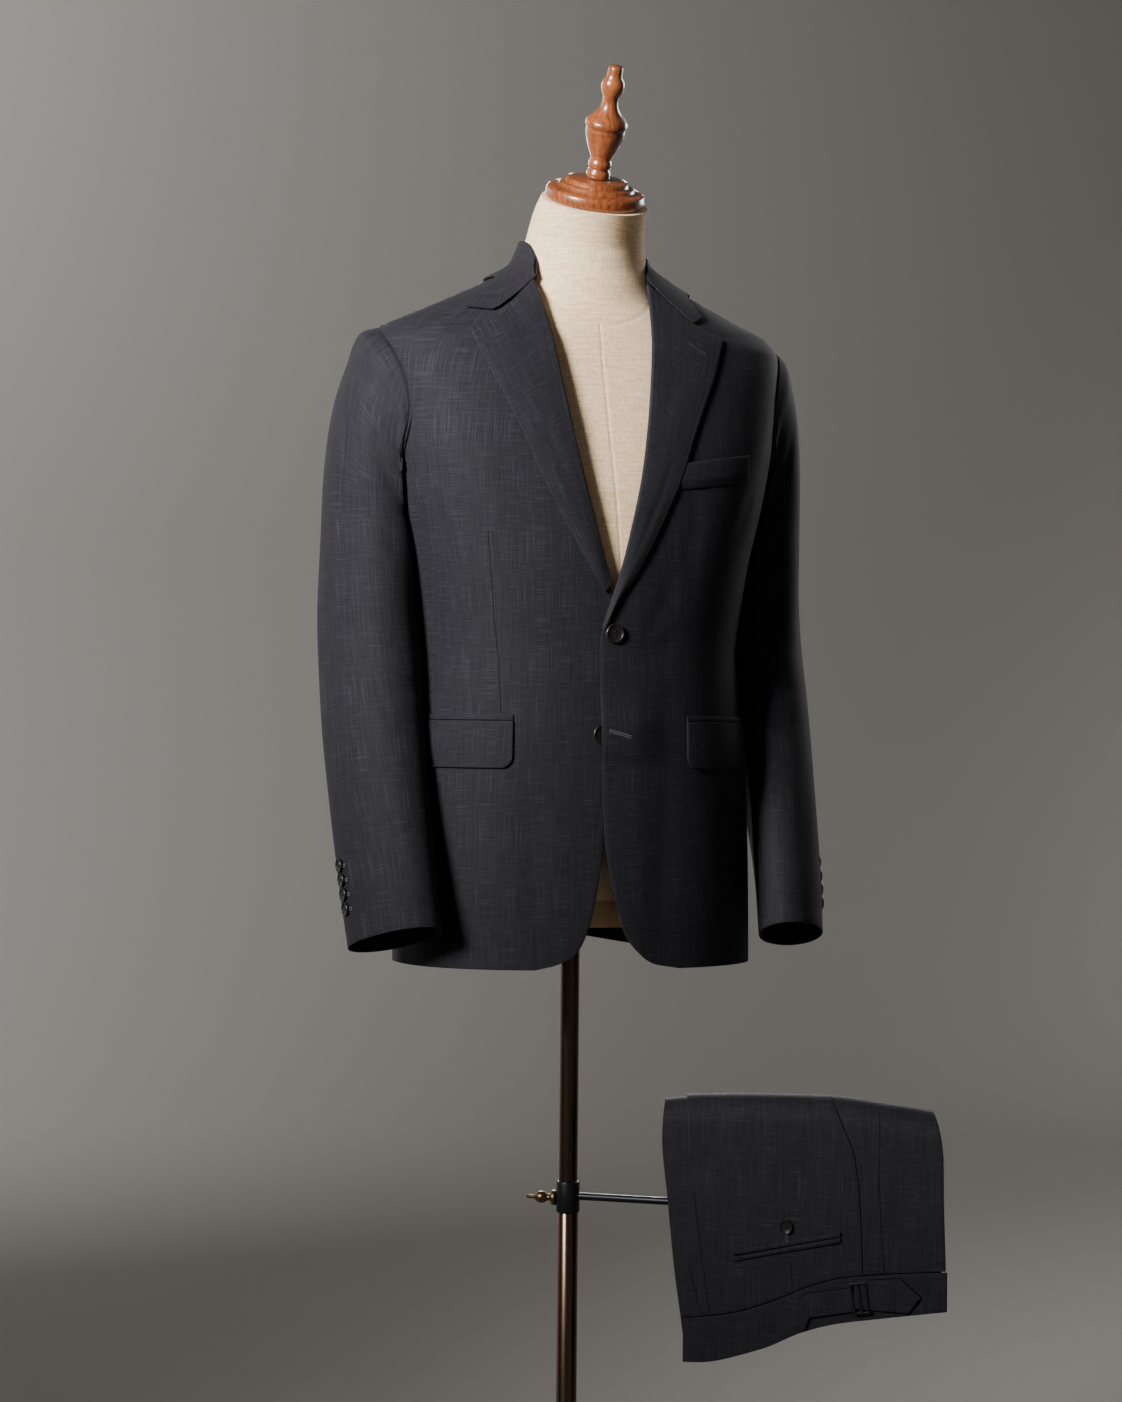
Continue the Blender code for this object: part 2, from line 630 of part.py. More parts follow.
def sleeve_point(turn, t):
    """Outer face of the wearer's left sleeve, from the armhole (0) to the cuff (1)."""
    if t >= SLEEVE_SPLIT:
        drop = (t - SLEEVE_SPLIT) / (1 - SLEEVE_SPLIT)
        return clear_of_body(sleeve_ring(turn, drop), SLEEVE_CLEAR)
    u = t / SLEEVE_SPLIT
    top = max(0.0, math.cos(turn))
    start = armhole_point(turn)
    end = clear_of_body(sleeve_ring(turn, 0.0), SLEEVE_CLEAR)
    knee = mix(start, end, mix(0.50, 0.92, top))
    knee.x = mix(knee.x, SLEEVE_HEAD_X, top)
    knee.z = start.z - mix(0.45 * (start.z - end.z), 0.018, top)
    point = start * (1 - u) ** 2 + knee * 2 * u * (1 - u) + end * u * u
    limit = jacket.side_x(point.y, point.z) + SLEEVE_CLEAR + SLEEVE_SOFT * math.log(2)
    short = max(0.0, limit - point.x)
    point.x += short * max(ease(u / 0.35), ease(-math.cos(turn) * 2))
    return point


def sleeve_facing(turn, t):
    """Which way the sleeve's cloth faces: away from the armhole's middle at the head, and away
    from the sleeve's own middle further down and under the arm."""
    drop = max(0.0, (t - SLEEVE_SPLIT) / (1 - SLEEVE_SPLIT))
    facing = math.radians(sleeve_turn(drop))
    out = Vector((math.cos(facing), -math.sin(facing), 0.0))
    front = Vector((-math.sin(facing), -math.cos(facing), 0.0))
    below = out * math.cos(turn) / sleeve_across(drop) + front * math.sin(turn) / sleeve_along(drop)
    head = Vector((0.0, -math.sin(turn), math.cos(turn)))
    share = max(ease(t / SLEEVE_SPLIT), ease(-math.cos(turn) * 2))
    return mix(head, below.normalized(), share).normalized()


def sleeve_seams(top):
    """Where the top or under piece starts and ends around the sleeve, in degrees, at a share of
    its length."""

    def front(t):
        return SLEEVE_FRONT_SEAM

    def back(t):
        return mix(SLEEVE_BACK_SEAM, SLEEVE_CUFF_SEAM, ease((t - 0.35) / 0.55))

    return (lambda t: back(t) - 360, front) if top else (front, back)


def sleeve_place(first, last, side):
    """The two faces of a sleeve piece between its seams."""
    gap = SLEEVE_SEAM / 2 / SLEEVE_RADIUS

    def place(s, t, inner):
        turn = mix(math.radians(first(t)) + gap, math.radians(last(t)) - gap, s)
        point = sleeve_point(turn, t) - sleeve_facing(turn, t) * (CLOTH if inner else 0.0)
        return Vector((point.x * side, point.y, point.z))

    return place


def lapel_surface(side):
    first = 0.0 if side > 0 else LAPEL_RIGHT_FROM

    def surface(s, t):
        gap = 0.0004 * (1 - t)
        t = mix(first, 1.0, t)
        out = mix(roll_out(t), lapel_out(t), s)
        height = mix(roll_height(t), lapel_height(t), s)
        bend = 1 - abs(s - 0.55) / (0.55 if s < 0.55 else 0.45)
        height -= LAPEL_LINE_DIP * bend * t ** 6
        return on_front(own_side(out + gap, side), height, side)

    return surface


(collar_fold_turn, collar_fold, collar_edge_turn, collar_edge, collar_seam) = columns(COLLAR)
COLLAR_ARC = 0.16           # share of the profile that turns over the fold
COLLAR_LEAF = 0.46


def collar_middle(s, t):
    """Middle of the collar's cloth: s from the right end around to the left, t from the leaf's
    edge over the fold to the neck seam."""
    share = (1 - abs(2 * s - 1)) ** 1.35
    side = -1 if s < 0.5 else 1
    fold_turn = math.radians(collar_fold_turn(share))
    edge_turn = math.radians(collar_edge_turn(share))
    lower = COLLAR_LEFT_LOWER * math.sin(math.pi * min(1.0, share * 1.5)) if side > 0 else 0.0
    fold = collar_fold(share) - lower
    radius = (COLLAR_LEAF_OUT - COLLAR_STAND_OUT) / 2
    centre = (COLLAR_LEAF_OUT + COLLAR_STAND_OUT) / 2
    shift = CENTRE_X / NECK_RADIUS * (1 - ease(share / 0.35)) * mix(1.0, 0.8, ease(t / COLLAR_LEAF))
    if t < COLLAR_LEAF:
        u = t / COLLAR_LEAF
        turn, height, out = mix(edge_turn, fold_turn, u), mix(collar_edge(share) - lower, fold, u), radius
        bend = 1 - abs(u - 0.38) / (0.38 if u < 0.38 else 0.62)
        height -= COLLAR_END_DIP * bend * (1 - ease(share / 0.10))
    elif t < COLLAR_LEAF + COLLAR_ARC:
        angle = (t - COLLAR_LEAF) / COLLAR_ARC * math.pi
        turn, height, out = fold_turn, fold + radius * math.sin(angle), radius * math.cos(angle)
    else:
        u = (t - COLLAR_LEAF - COLLAR_ARC) / (1 - COLLAR_LEAF - COLLAR_ARC)
        turn, height, out = fold_turn, mix(fold, collar_seam(share), u), -radius
    turn = turn * side + shift
    point = jacket.around(turn, height)
    beyond = jacket.around(turn + 0.01, height) - jacket.around(turn - 0.01, height)
    rise = point - jacket.around(turn, height - 0.002)
    return point + beyond.cross(rise).normalized() * (centre + out)


def add_buttons(parent):
    def disc(name, radius, thick, steps, place, facing, lift):
        rim = radius * 0.80
        profile = ((0.0, 0.0), (radius * 0.86, 0.0), (radius, thick * 0.35), (radius, thick * 0.70),
                   (radius * 0.93, thick), (rim, thick * 0.92), (rim * 0.86, thick * 0.66),
                   (0.0, thick * 0.66))
        obj = turned(name, profile, steps, "horn", parent)
        obj.rotation_mode = "QUATERNION"
        obj.rotation_quaternion = Vector((0, 0, 1)).rotation_difference(facing)
        obj.location = place + facing * lift
        return obj

    for name, (out, height), side in (("button_top", TOP_BUTTON, 1),
                                      ("button_low", LOW_BUTTON, -1)):
        x = own_side(out, side)
        point = on_front(x, height, side)
        across = on_front(x + 0.004, height, side) - on_front(x - 0.004, height, side)
        along = on_front(x, height + 0.004, side) - on_front(x, height - 0.004, side)
        disc(name, FRONT_BUTTON_RADIUS, FRONT_BUTTON_THICK, 16, point,
             across.cross(along).normalized(), BUTTON_LIFT)
    turn = math.radians(CUFF_BUTTON_TURN)
    for side, word in ((1, "left"), (-1, "right")):
        for i, height in enumerate(CUFF_BUTTONS):
            low, high = SLEEVE_SPLIT, 1.0
            for _ in range(40):
                t = (low + high) / 2
                low, high = (t, high) if sleeve_point(turn, t).z > height else (low, t)
            point = sleeve_point(turn, t)
            around = sleeve_point(turn + 0.05, t) - sleeve_point(turn - 0.05, t)
            down = sleeve_point(turn, min(t + 0.01, 1)) - sleeve_point(turn, t - 0.01)
            facing = down.cross(around).normalized()
            from_middle = point - Vector((sleeve_x(0.9), sleeve_y(0.9), point.z))
            facing *= 1 if facing.dot(from_middle) > 0 else -1
            point.x *= side
            facing.x *= side
            disc(f"cuff_button_{word}_{i + 1}", CUFF_BUTTON_RADIUS, CUFF_BUTTON_THICK, 10,
                 point, facing, CUFF_BUTTON_LIFT)


def flap_surface(side, top, depth, corner):
    """A strip of the front's face below top, from the flap's front end around the side."""
    start = jacket.turn_at_x(abs(POCKET_CENTRE_X + side * FLAP_INNER), top)
    steps = 60
    length = 0.0
    stop = start
    before = jacket.around(start, top)
    while length < FLAP_LENGTH and steps:
        stop += 0.02
        after = jacket.around(stop, top)
        length += (after - before).length
        before = after
        steps -= 1

    def surface(s, t):
        s = s ** 1.5
        turn = mix(start, stop, s)
        lower = top - depth
        if corner:
            near = max(0.0, 1 - s * FLAP_LENGTH / corner)
            lower += corner * (1 - math.sqrt(max(0.0, 1 - near * near)))
        height = mix(lower, top, t)
        return jacket.around(turn * side, height)

    return surface


def welt_surface(s, t):
    top = mix(WELT_INNER_TOP, WELT_OUTER_TOP, s)
    height = mix(top - WELT_DEPTH, top, t)
    x = mix(own_side(lapel_edge_at(height), 1) + WELT_GAP, WELT_OUTER_X, s)
    return on_front(x, height, 1)


def add_jacket(parent):
    for side, word in ((1, "left"), (-1, "right")):
        panel(f"front_{word}", front_surface(side), 8, len(FRONT_ROWS) - 1, side, parent=parent)
        panel(f"side_{word}", side_surface(side), 3, len(SIDE_ROWS) - 1, side, parent=parent)
        panel(f"back_{word}", back_surface(side), 7, len(BACK_ROWS) - 1, -side, parent=parent)
        wall(f"top_sleeve_{word}", sleeve_place(*sleeve_seams(True), side), 10, 18, parent=parent)
        wall(f"under_sleeve_{word}", sleeve_place(*sleeve_seams(False), side), 7, 18,
             parent=parent)
        panel(f"lapel_{word}", lapel_surface(side), 5, 14, side, LAPEL_THICK,
              LAPEL_LIFT + LAPEL_THICK, parent=parent)
        panel(f"flap_{word}", flap_surface(side, FLAP_TOP, FLAP_DEPTH, FLAP_CORNER), 9, 3, side,
              FLAP_THICK, ON_PANEL + FLAP_THICK, parent=parent)
        panel(f"jet_{word}", flap_surface(side, FLAP_TOP + SEAM + JET_HEIGHT, JET_HEIGHT, 0.0),
              9, 1, side, JET_THICK, ON_PANEL + JET_THICK, parent=parent)
    panel("breast_welt", welt_surface, 6, 2, 1, WELT_THICK, ON_PANEL + WELT_THICK, parent=parent)

    def collar_place(s, t, inner):
        return moved(collar_middle, s, t, -COLLAR_THICK / 2 if inner else COLLAR_THICK / 2)

    wall("collar", collar_place, 24, 9, parent=parent)
    add_buttons(parent)


# Dress form
def tip_forward(point, height):
    """Above the neck's base the level sections tip forward, up to the neck's top plane."""
    share = ease((height - NECK_TILT_FROM) / (FORM_TOP - NECK_TILT_FROM))
    middle = form.middle(height)
    point.z += math.tan(NECK_TILT * share) * (point.y - middle)
    return point


def add_form(parent):
    around, rows = 28, [row.height for row in FORM]
    bm = bmesh.new()
    rings = []
    for height in rows:
        ring = bmesh.ops.create_circle(bm, cap_ends=False, segments=around, radius=1.0)["verts"]
        for i, vert in enumerate(ring):
            turn = math.tau * i / around
            vert.co = tip_forward(form.around(turn, height), height)
        rings.append(ring)
    edges = [
        [bm.edges.get((ring[i], ring[(i + 1) % around])) for i in range(around)] for ring in rings
    ]
    for lower, upper in zip(edges, edges[1:]):
        bmesh.ops.bridge_loops(bm, edges=lower + upper)
    bmesh.ops.contextual_create(bm, geom=edges[0])
    bmesh.ops.contextual_create(bm, geom=edges[-1])
    body = add_object("form_body", bm, "linen", parent)
    socket = turned("form_socket_cutter",
                    ((0.0, SOCKET_FROM), (UPPER_TUBE_RADIUS + SLIP, SOCKET_FROM),
                     (UPPER_TUBE_RADIUS + SLIP, UPPER_TUBE_TOP + SLIP),
                     (0.0, UPPER_TUBE_TOP + SLIP)), 24, "bronze_tube")
    socket.hide_render = True
    socket.display_type = "WIRE"
    cut = body.modifiers.new("socket", "BOOLEAN")
    cut.operation = "DIFFERENCE"
    cut.solver = "EXACT"
    cut.object = socket

    neck_top = Vector((0.0, form.middle(FORM_TOP), FORM_TOP))
    lean = (NECK_TILT, 0.0, 0.0)
    cap = turned("neck_cap", (
        (0.0, 0.0), (0.0500, 0.0), (0.0520, 0.0020), (0.0520, 0.0105), (0.0500, 0.0130),
        (0.0430, 0.0142), (0.0400, 0.0160), (0.0385, 0.0185), (0.0330, 0.0192),
        (0.0325, 0.0235), (0.0, 0.0252)), 24, "wood", parent)
    cap.location = neck_top + Vector((0.0, -math.sin(NECK_TILT), math.cos(NECK_TILT))) * 0.0003
    cap.rotation_euler = lean
    finial = turned("finial", (
        (0.0, 0.0), (0.0128, 0.0), (0.0122, 0.0070), (0.0100, 0.0090), (0.0118, 0.0115),
        (0.0118, 0.0170), (0.0105, 0.0195), (0.0135, 0.0270), (0.0185, 0.0400),
        (0.0205, 0.0490), (0.0200, 0.0525), (0.0218, 0.0550), (0.0218, 0.0590),
        (0.0195, 0.0625), (0.0130, 0.0690), (0.0085, 0.0770), (0.0080, 0.0860),
        (0.0100, 0.0895), (0.0120, 0.0960), (0.0112, 0.1020), (0.0078, 0.1075),
        (0.0072, 0.1170), (0.0, 0.1190)), 16, "wood", parent)
    up = Vector((0.0, -math.sin(NECK_TILT), math.cos(NECK_TILT)))
    finial.location = neck_top + up * (SLIP + 0.0252 + 0.0012)
    finial.rotation_euler = (FINIAL_TILT, 0.0, 0.0)


# Stand
def along_arm(u, w, height):
    """A point given along the arm, towards the viewer, and up."""
    c, s = math.cos(ARM_TURN), math.sin(ARM_TURN)
    return Vector((u * c + w * s, u * s - w * c, height))


def in_fold(u, w, height):
    """The same for the folded cloth, whose layers behind lie nearer to the stand."""
    return along_arm(u - SHEAR * (FRONT_FACE - w), w, height)


def add_stand(upper, arm):
    turned("base_plate", (
        (0.0, 0.0), (BASE_RADIUS - 0.004, 0.0), (BASE_RADIUS, 0.003),
        (BASE_RADIUS, BASE_THICK - 0.004), (BASE_RADIUS - 0.004, BASE_THICK),
        (BOSS_RADIUS + 0.006, BASE_THICK + 0.002), (BOSS_RADIUS, BASE_THICK + 0.008),
        (BOSS_RADIUS, BOSS_TOP - 0.002), (BOSS_RADIUS - 0.002, BOSS_TOP),
        (LOWER_TUBE_RADIUS + SLIP, BOSS_TOP), (LOWER_TUBE_RADIUS + SLIP, BASE_THICK),
        (0.0, BASE_THICK)), 36, "bronze_tube")
    bore = UPPER_TUBE_RADIUS + SLIP
    turned("pole_lower", (
        (LOWER_TUBE_RADIUS, BASE_THICK + SLIP), (LOWER_TUBE_RADIUS, LOWER_TUBE_TOP),
        (bore, LOWER_TUBE_TOP), (bore, BASE_THICK + SLIP)), 24, "bronze_tube")
    turned("pole_upper", (
        (0.0, UPPER_TUBE_BOTTOM), (UPPER_TUBE_RADIUS, UPPER_TUBE_BOTTOM),
        (UPPER_TUBE_RADIUS, UPPER_TUBE_TOP), (0.0, UPPER_TUBE_TOP)), 24, "bronze_tube", upper)
    turned("clamp_collar", (
        (bore, CLAMP_BOTTOM), (CLAMP_RADIUS - 0.001, CLAMP_BOTTOM),
        (CLAMP_RADIUS, CLAMP_BOTTOM + 0.002), (CLAMP_RADIUS, CLAMP_TOP - 0.002),
        (CLAMP_RADIUS - 0.001, CLAMP_TOP), (bore, CLAMP_TOP)), 24, "black_metal", arm)


def add_arm(arm):
    """The side arm: a rod out of the collar, which rises inside the trousers to their rail."""
    corner = [
        (CLAMP_RADIUS + SLIP, ARM_HEIGHT), (ARM_RISE_AT - ARM_BEND, ARM_HEIGHT),
        (ARM_RISE_AT, ARM_HEIGHT + ARM_BEND), (ARM_RISE_AT, RAIL_HEIGHT - ARM_BEND),
        (ARM_RISE_AT + ARM_BEND, RAIL_HEIGHT), (ARM_END, RAIL_HEIGHT),
    ]
    middle = math.sqrt(0.5) * ARM_BEND
    corner.insert(2, (ARM_RISE_AT - ARM_BEND + middle, ARM_HEIGHT + ARM_BEND - middle))
    corner.insert(5, (ARM_RISE_AT + ARM_BEND - middle, RAIL_HEIGHT - ARM_BEND + middle))
    path = bpy.data.curves.new("trouser_arm", "CURVE")
    path.dimensions = "3D"
    path.bevel_depth = ARM_RADIUS
    path.bevel_resolution = 2
    path.use_fill_caps = True
    spline = path.splines.new("POLY")
    spline.points.add(len(corner) - 1)
    for point, (u, height) in zip(spline.points, corner):
        point.co = (*along_arm(u, 0.0, height), 1.0)
    path.materials.append(material("black_metal"))
    obj = bpy.data.objects.new("trouser_arm", path)
    bpy.context.scene.collection.objects.link(obj)
    obj.parent = arm


def add_knob(parent):
    profile = (
        (0.0, 0.0), (0.0078, 0.0), (0.0080, 0.0012), (0.0080, 0.0040), (0.0066, 0.0052),
        (0.0036, 0.0064), (0.0034, 0.0095), (0.0046, 0.0115), (0.0064, 0.0150),
        (0.0064, 0.0190), (0.0046, 0.0225), (0.0024, 0.0245), (0.0022, 0.0325),
        (0.0016, 0.0332), (0.0, 0.0333))
    turned("clamp_knob", profile, 12, "aged_brass", parent)


# Trousers
FOLD_ROWS = 22              # rows of the cloth: up the front, over the fold, down behind
FOLD_FROM = 7 / FOLD_ROWS
FOLD_TO = 15 / FOLD_ROWS


def fold_profile(t, front, rear, top, front_end, rear_end):
    """A path over the rail in the (w, height) plane: up the front, over the fold, down behind.
    front and rear are the faces' distances from the rail's axis."""
    half = (front + rear) / 2
    middle = (front - rear) / 2
    centre = top - half
    up = centre - front_end
    down = centre - rear_end
    if t <= FOLD_FROM:
        return front, front_end + up * t / FOLD_FROM
    if t <= FOLD_TO:
        angle = math.pi * (t - FOLD_FROM) / (FOLD_TO - FOLD_FROM)
        return middle + half * math.cos(angle), centre + half * math.sin(angle)
    return -rear, centre - down * (t - FOLD_TO) / (1 - FOLD_TO)


def trouser_surface(left, right):
    """left and right give u at a height; the panel runs between them, over the fold."""

    def surface(s, t):
        u = mix(0.1395, 0.405, s)
        for _ in range(2):
            shape = (FRONT_FACE, REAR_FACE, fold_top(u), waist_seam(u) + SEAM,
                     waist_edge(u) + REAR_ABOVE)
            w, height = fold_profile(t, *shape)
            u = mix(left(height), right(height), s)
        return in_fold(u, w, height)

    return surface


def band_surface(lower, upper, left, right, out):
    """A piece on the side towards the viewer: lower and upper give heights along u."""

    def surface(s, t):
        u = mix(left, right, s)
        return along_arm(u, FRONT_FACE + out, mix(lower(u), upper(u), t))

    return surface


def polyline(points):
    us = [point[0] for point in points]
    hs = [point[1] for point in points]
    return lambda u: float(np.interp(u, us, hs))


def add_trousers(parent):
    gap = SEAM / 2
    panel("trouser_back_panel",
          trouser_surface(trouser_left, lambda height: trouser_seam(height) - gap), 8, FOLD_ROWS,
          parent=parent)
    panel("trouser_front_panel",
          trouser_surface(lambda height: trouser_seam(height) + gap, trouser_right), 4, FOLD_ROWS,
          parent=parent)
    band = band_surface(waist_edge, lambda u: waist_seam(u) - gap, WAISTBAND_LEFT,
                        WAISTBAND_RIGHT, WAISTBAND_LIFT)
    panel("trouser_waistband", band, 12, 2, thickness=WAISTBAND_THICK, parent=parent)

    def layers(s, t, inner):
        inset = CLOTH + LAYER_GAP
        u = mix(LAYER_LEFT[-1].u, TROUSER_EDGES[-1].right, s)
        for _ in range(2):
            front_end = waist_edge(u) + LAYER_ABOVE
            rear_end = front_end + REAR_ABOVE
            w, height = fold_profile(t, FRONT_FACE - inset, REAR_FACE - inset,
                                     fold_top(u) - inset, front_end, rear_end)
            u = mix(layer_left(height), trouser_right(height) - LAYER_ABOVE, s)
        if inner:
            slot_top = RAIL_HEIGHT + ARM_RADIUS + SLIP
            w, height = fold_profile(t, SLOT, SLOT, slot_top, front_end, rear_end)
        return in_fold(u, w, height)

    wall("trouser_layers", layers, 8, FOLD_ROWS, parent=parent)
    add_back_pocket(parent)
    add_side_adjuster(parent)


def add_back_pocket(parent):
    """Two jets along a sloping line, and the button above them."""
    line = polyline(POCKET_LINE)
    for name, low in (("pocket_jet_upper", SEAM / 2), ("pocket_jet_lower", -SEAM / 2 - POCKET_JET)):
        jet = band_surface(lambda u, low=low: line(u) + low,
                           lambda u, low=low: line(u) + low + POCKET_JET,
                           POCKET_LEFT, POCKET_RIGHT, ON_PANEL)
        panel(name, jet, 6, 1, thickness=JET_THICK, lift=JET_THICK, parent=parent)
    button = turned("pocket_button", (
        (0.0, 0.0), (0.0062, 0.0), (0.0072, 0.0010), (0.0072, 0.0020), (0.0066, 0.0028),
        (0.0056, 0.0026), (0.0048, 0.0019), (0.0, 0.0019)), 12, "horn", parent)
    facing = along_arm(0.0, 1.0, 0.0)
    button.rotation_mode = "QUATERNION"
    button.rotation_quaternion = Vector((0, 0, 1)).rotation_difference(facing)
    button.location = along_arm(POCKET_BUTTON.u, FRONT_FACE + ON_PANEL, POCKET_BUTTON.height)


def add_side_adjuster(parent):
    """A pointed strap from the back, a tab from the front, and the buckle that joins them."""
    lift = WAISTBAND_LIFT + ON_PANEL
    strap = band_surface(polyline(STRAP_LOW), polyline(STRAP_TOP), *STRAP_ENDS, lift)
    tab = band_surface(polyline(TAB_LOW), polyline(TAB_TOP), *TAB_ENDS, lift)
    for name, surface in (("adjuster_strap", strap), ("adjuster_tab", tab)):
        panel(name, surface, 12, 1, thickness=STRAP_THICK, lift=STRAP_THICK, parent=parent)
    add_buckle(parent, lift + STRAP_THICK + ON_PANEL)


def add_buckle(parent, out):
    """A flat two-slot slide: a box with two slots cut through."""
    turn = (Matrix.Translation(along_arm(BUCKLE_U, FRONT_FACE + out + BUCKLE_THICK / 2,
                                         BUCKLE_HEIGHT))
            @ Matrix.Rotation(ARM_TURN, 4, "Z") @ Matrix.Rotation(-BUCKLE_TILT, 4, "Y"))

    def box(name, wide, deep, tall, at):
        bm = bmesh.new()
        bmesh.ops.create_cube(bm, size=1.0)
        bmesh.ops.scale(bm, vec=(wide, deep, tall), verts=bm.verts[:])
        bmesh.ops.translate(bm, vec=(at, 0.0, 0.0), verts=bm.verts[:])
        bmesh.ops.transform(bm, matrix=turn, verts=bm.verts[:])
        return add_object(name, bm, "black_metal", parent, 20.0)

    frame = box("adjuster_buckle", BUCKLE_WIDE, BUCKLE_THICK, BUCKLE_TALL, 0.0)
    slot = (BUCKLE_WIDE - 3 * BUCKLE_BAR) / 2
    for i, at in enumerate((-(slot + BUCKLE_BAR) / 2, (slot + BUCKLE_BAR) / 2)):
        cutter = box(f"buckle_slot_cutter_{i}", slot, BUCKLE_THICK * 3,
                     BUCKLE_TALL - 2 * BUCKLE_BAR, at)
        cutter.hide_render = True
        cutter.display_type = "WIRE"
        cut = frame.modifiers.new(f"slot_{i}", "BOOLEAN")
        cut.operation = "DIFFERENCE"
        cut.solver = "EXACT"
        cut.object = cutter


def main():
    for obj in list(bpy.data.objects):
        bpy.data.objects.remove(obj)
    upper = empty("upper_motion", (0, 0, 0))
    worn = empty("form_motion", (0, 0, 0), parent=upper)
    arm = empty("arm_motion", (0, 0, 0))
    knob_at = along_arm(-(CLAMP_RADIUS + SLIP), 0.0, ARM_HEIGHT - 0.0030)
    knob = empty("knob_motion", knob_at, (0.0, -math.pi / 2, ARM_TURN), parent=arm)
    add_stand(upper, arm)
    add_arm(arm)
    add_knob(knob)
    add_form(worn)
    add_jacket(worn)
    add_trousers(arm)


if __name__ == "__main__":
    main()
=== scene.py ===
# %% [markdown]
# # A two-button suit on a dress form
# The real thing is a charcoal worsted suit. The jacket is worn by a limbless linen form on a
# tube stand, and its trousers hang folded over the stand's side arm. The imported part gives
# the exact places of all pieces, so this lesson only makes finer pieces around it: thin cloth
# shells with creases, stitching, buttonholes, turned wood and metal.

import math
from bisect import bisect_right
from collections import namedtuple

import bmesh
import bpy
import numpy as np
from mathutils import Matrix, Vector


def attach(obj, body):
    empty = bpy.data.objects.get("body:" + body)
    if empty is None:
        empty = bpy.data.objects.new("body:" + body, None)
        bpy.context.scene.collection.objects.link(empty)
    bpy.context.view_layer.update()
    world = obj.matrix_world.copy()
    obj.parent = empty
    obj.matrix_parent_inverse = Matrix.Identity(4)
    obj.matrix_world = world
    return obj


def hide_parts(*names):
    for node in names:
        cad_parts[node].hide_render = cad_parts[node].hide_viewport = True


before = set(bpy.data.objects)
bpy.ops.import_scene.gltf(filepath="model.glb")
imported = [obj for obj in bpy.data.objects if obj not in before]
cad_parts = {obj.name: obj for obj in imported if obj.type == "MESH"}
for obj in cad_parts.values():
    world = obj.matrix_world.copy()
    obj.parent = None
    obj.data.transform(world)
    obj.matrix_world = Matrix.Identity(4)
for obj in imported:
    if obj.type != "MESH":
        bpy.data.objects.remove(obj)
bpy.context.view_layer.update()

# %% [markdown]
# ## Camera and light
# A garment on a stand is photographed from about its own mid height with a long lens, so its
# sides stay parallel. The camera stands 3.4 m away, a little to the wearer's right. One large
# soft light on that side gives the bright shoulder and the dark far side.

# %% Camera
CAMERA_TURN = math.radians(-20.0)
CAMERA_DISTANCE = 3.40
CAMERA_HEIGHT = 1.05
CAMERA_ROLL = 0.00904
PICTURE = (1122, 1402)

lens = bpy.data.cameras.new("camera")
lens.sensor_width = 36.0
lens.lens = 3196 / PICTURE[1] * lens.sensor_width
lens.shift_x = -11.3 / PICTURE[1]
lens.shift_y = 18.0 / PICTURE[1]
camera = bpy.data.objects.new("camera", lens)
bpy.context.scene.collection.objects.link(camera)
camera.matrix_world = (     # turned to the level, then rolled a little as the picture is
    Matrix.Translation((math.sin(CAMERA_TURN) * CAMERA_DISTANCE,
                        -math.cos(CAMERA_TURN) * CAMERA_DISTANCE, CAMERA_HEIGHT))
    @ Matrix.Rotation(CAMERA_TURN, 4, "Z") @ Matrix.Rotation(math.pi / 2, 4, "X")
    @ Matrix.Rotation(CAMERA_ROLL, 4, "Z"))
bpy.context.scene.camera = camera
print("lens", round(lens.lens, 1), "mm")


# %% Light
def area_light(name, place, aim, wide, power, spread=180):
    data = bpy.data.lights.new(name, "AREA")
    data.size = wide
    data.spread = math.radians(spread)
    data.energy = power
    made = bpy.data.objects.new(name, data)
    bpy.context.scene.collection.objects.link(made)
    made.location = place
    made.rotation_euler = (Vector(aim) - Vector(place)).to_track_quat("-Z", "Y").to_euler()


area_light("key", (-2.9, -1.5, 2.5), (-0.16, 0.0, 1.66), 1.0, 24, 42)
area_light("front_fill", (0.9, -3.8, 1.6), (0.0, 0.0, 1.3), 2.4, 1.7)
area_light("rim", (2.6, 1.6, 2.4), (0.0, 0.0, 1.30), 1.2, 5, 60)
area_light("back_fill", (1.0, 3.1, 2.0), (0.0, 0.0, 1.20), 1.0, 7, 50)
area_light("backdrop_light", (-2.4, 3.4, 4.0), (-2.8, 5.6, 3.4), 0.5, 230)

world = bpy.data.worlds.new("studio")
world.use_nodes = True
world.node_tree.nodes["Background"].inputs["Color"].default_value = (0.072, 0.069, 0.066, 1.0)
world.node_tree.nodes["Background"].inputs["Strength"].default_value = 1.0
bpy.context.scene.world = world
print("lights", [light.name for light in bpy.data.lights])

# %% [markdown]
# ## Materials
# Colours are written as sRGB hex codes, as a colour picker shows them, and one function turns
# them to the linear values that a shader takes. One more adds a node with its settings.


# %% Colour and node helpers
def linear(code):
    """An sRGB hex colour as the linear one that shaders take."""
    parts = [int(code[i:i + 2], 16) / 255 for i in (1, 3, 5)]
    return (*[p / 12.92 if p <= 0.04045 else ((p + 0.055) / 1.055) ** 2.4 for p in parts], 1.0)


def node(tree, kind, values=None, links=None, **settings):
    """Adds a node, sets its attributes and socket values, and links its inputs."""
    made = tree.nodes.new(kind)
    for key, value in settings.items():
        setattr(made, key, value)
    for socket, value in (values or {}).items():
        made.inputs[socket].default_value = value
    for socket, source in (links or {}).items():
        tree.links.new(source, made.inputs[socket])
    return made


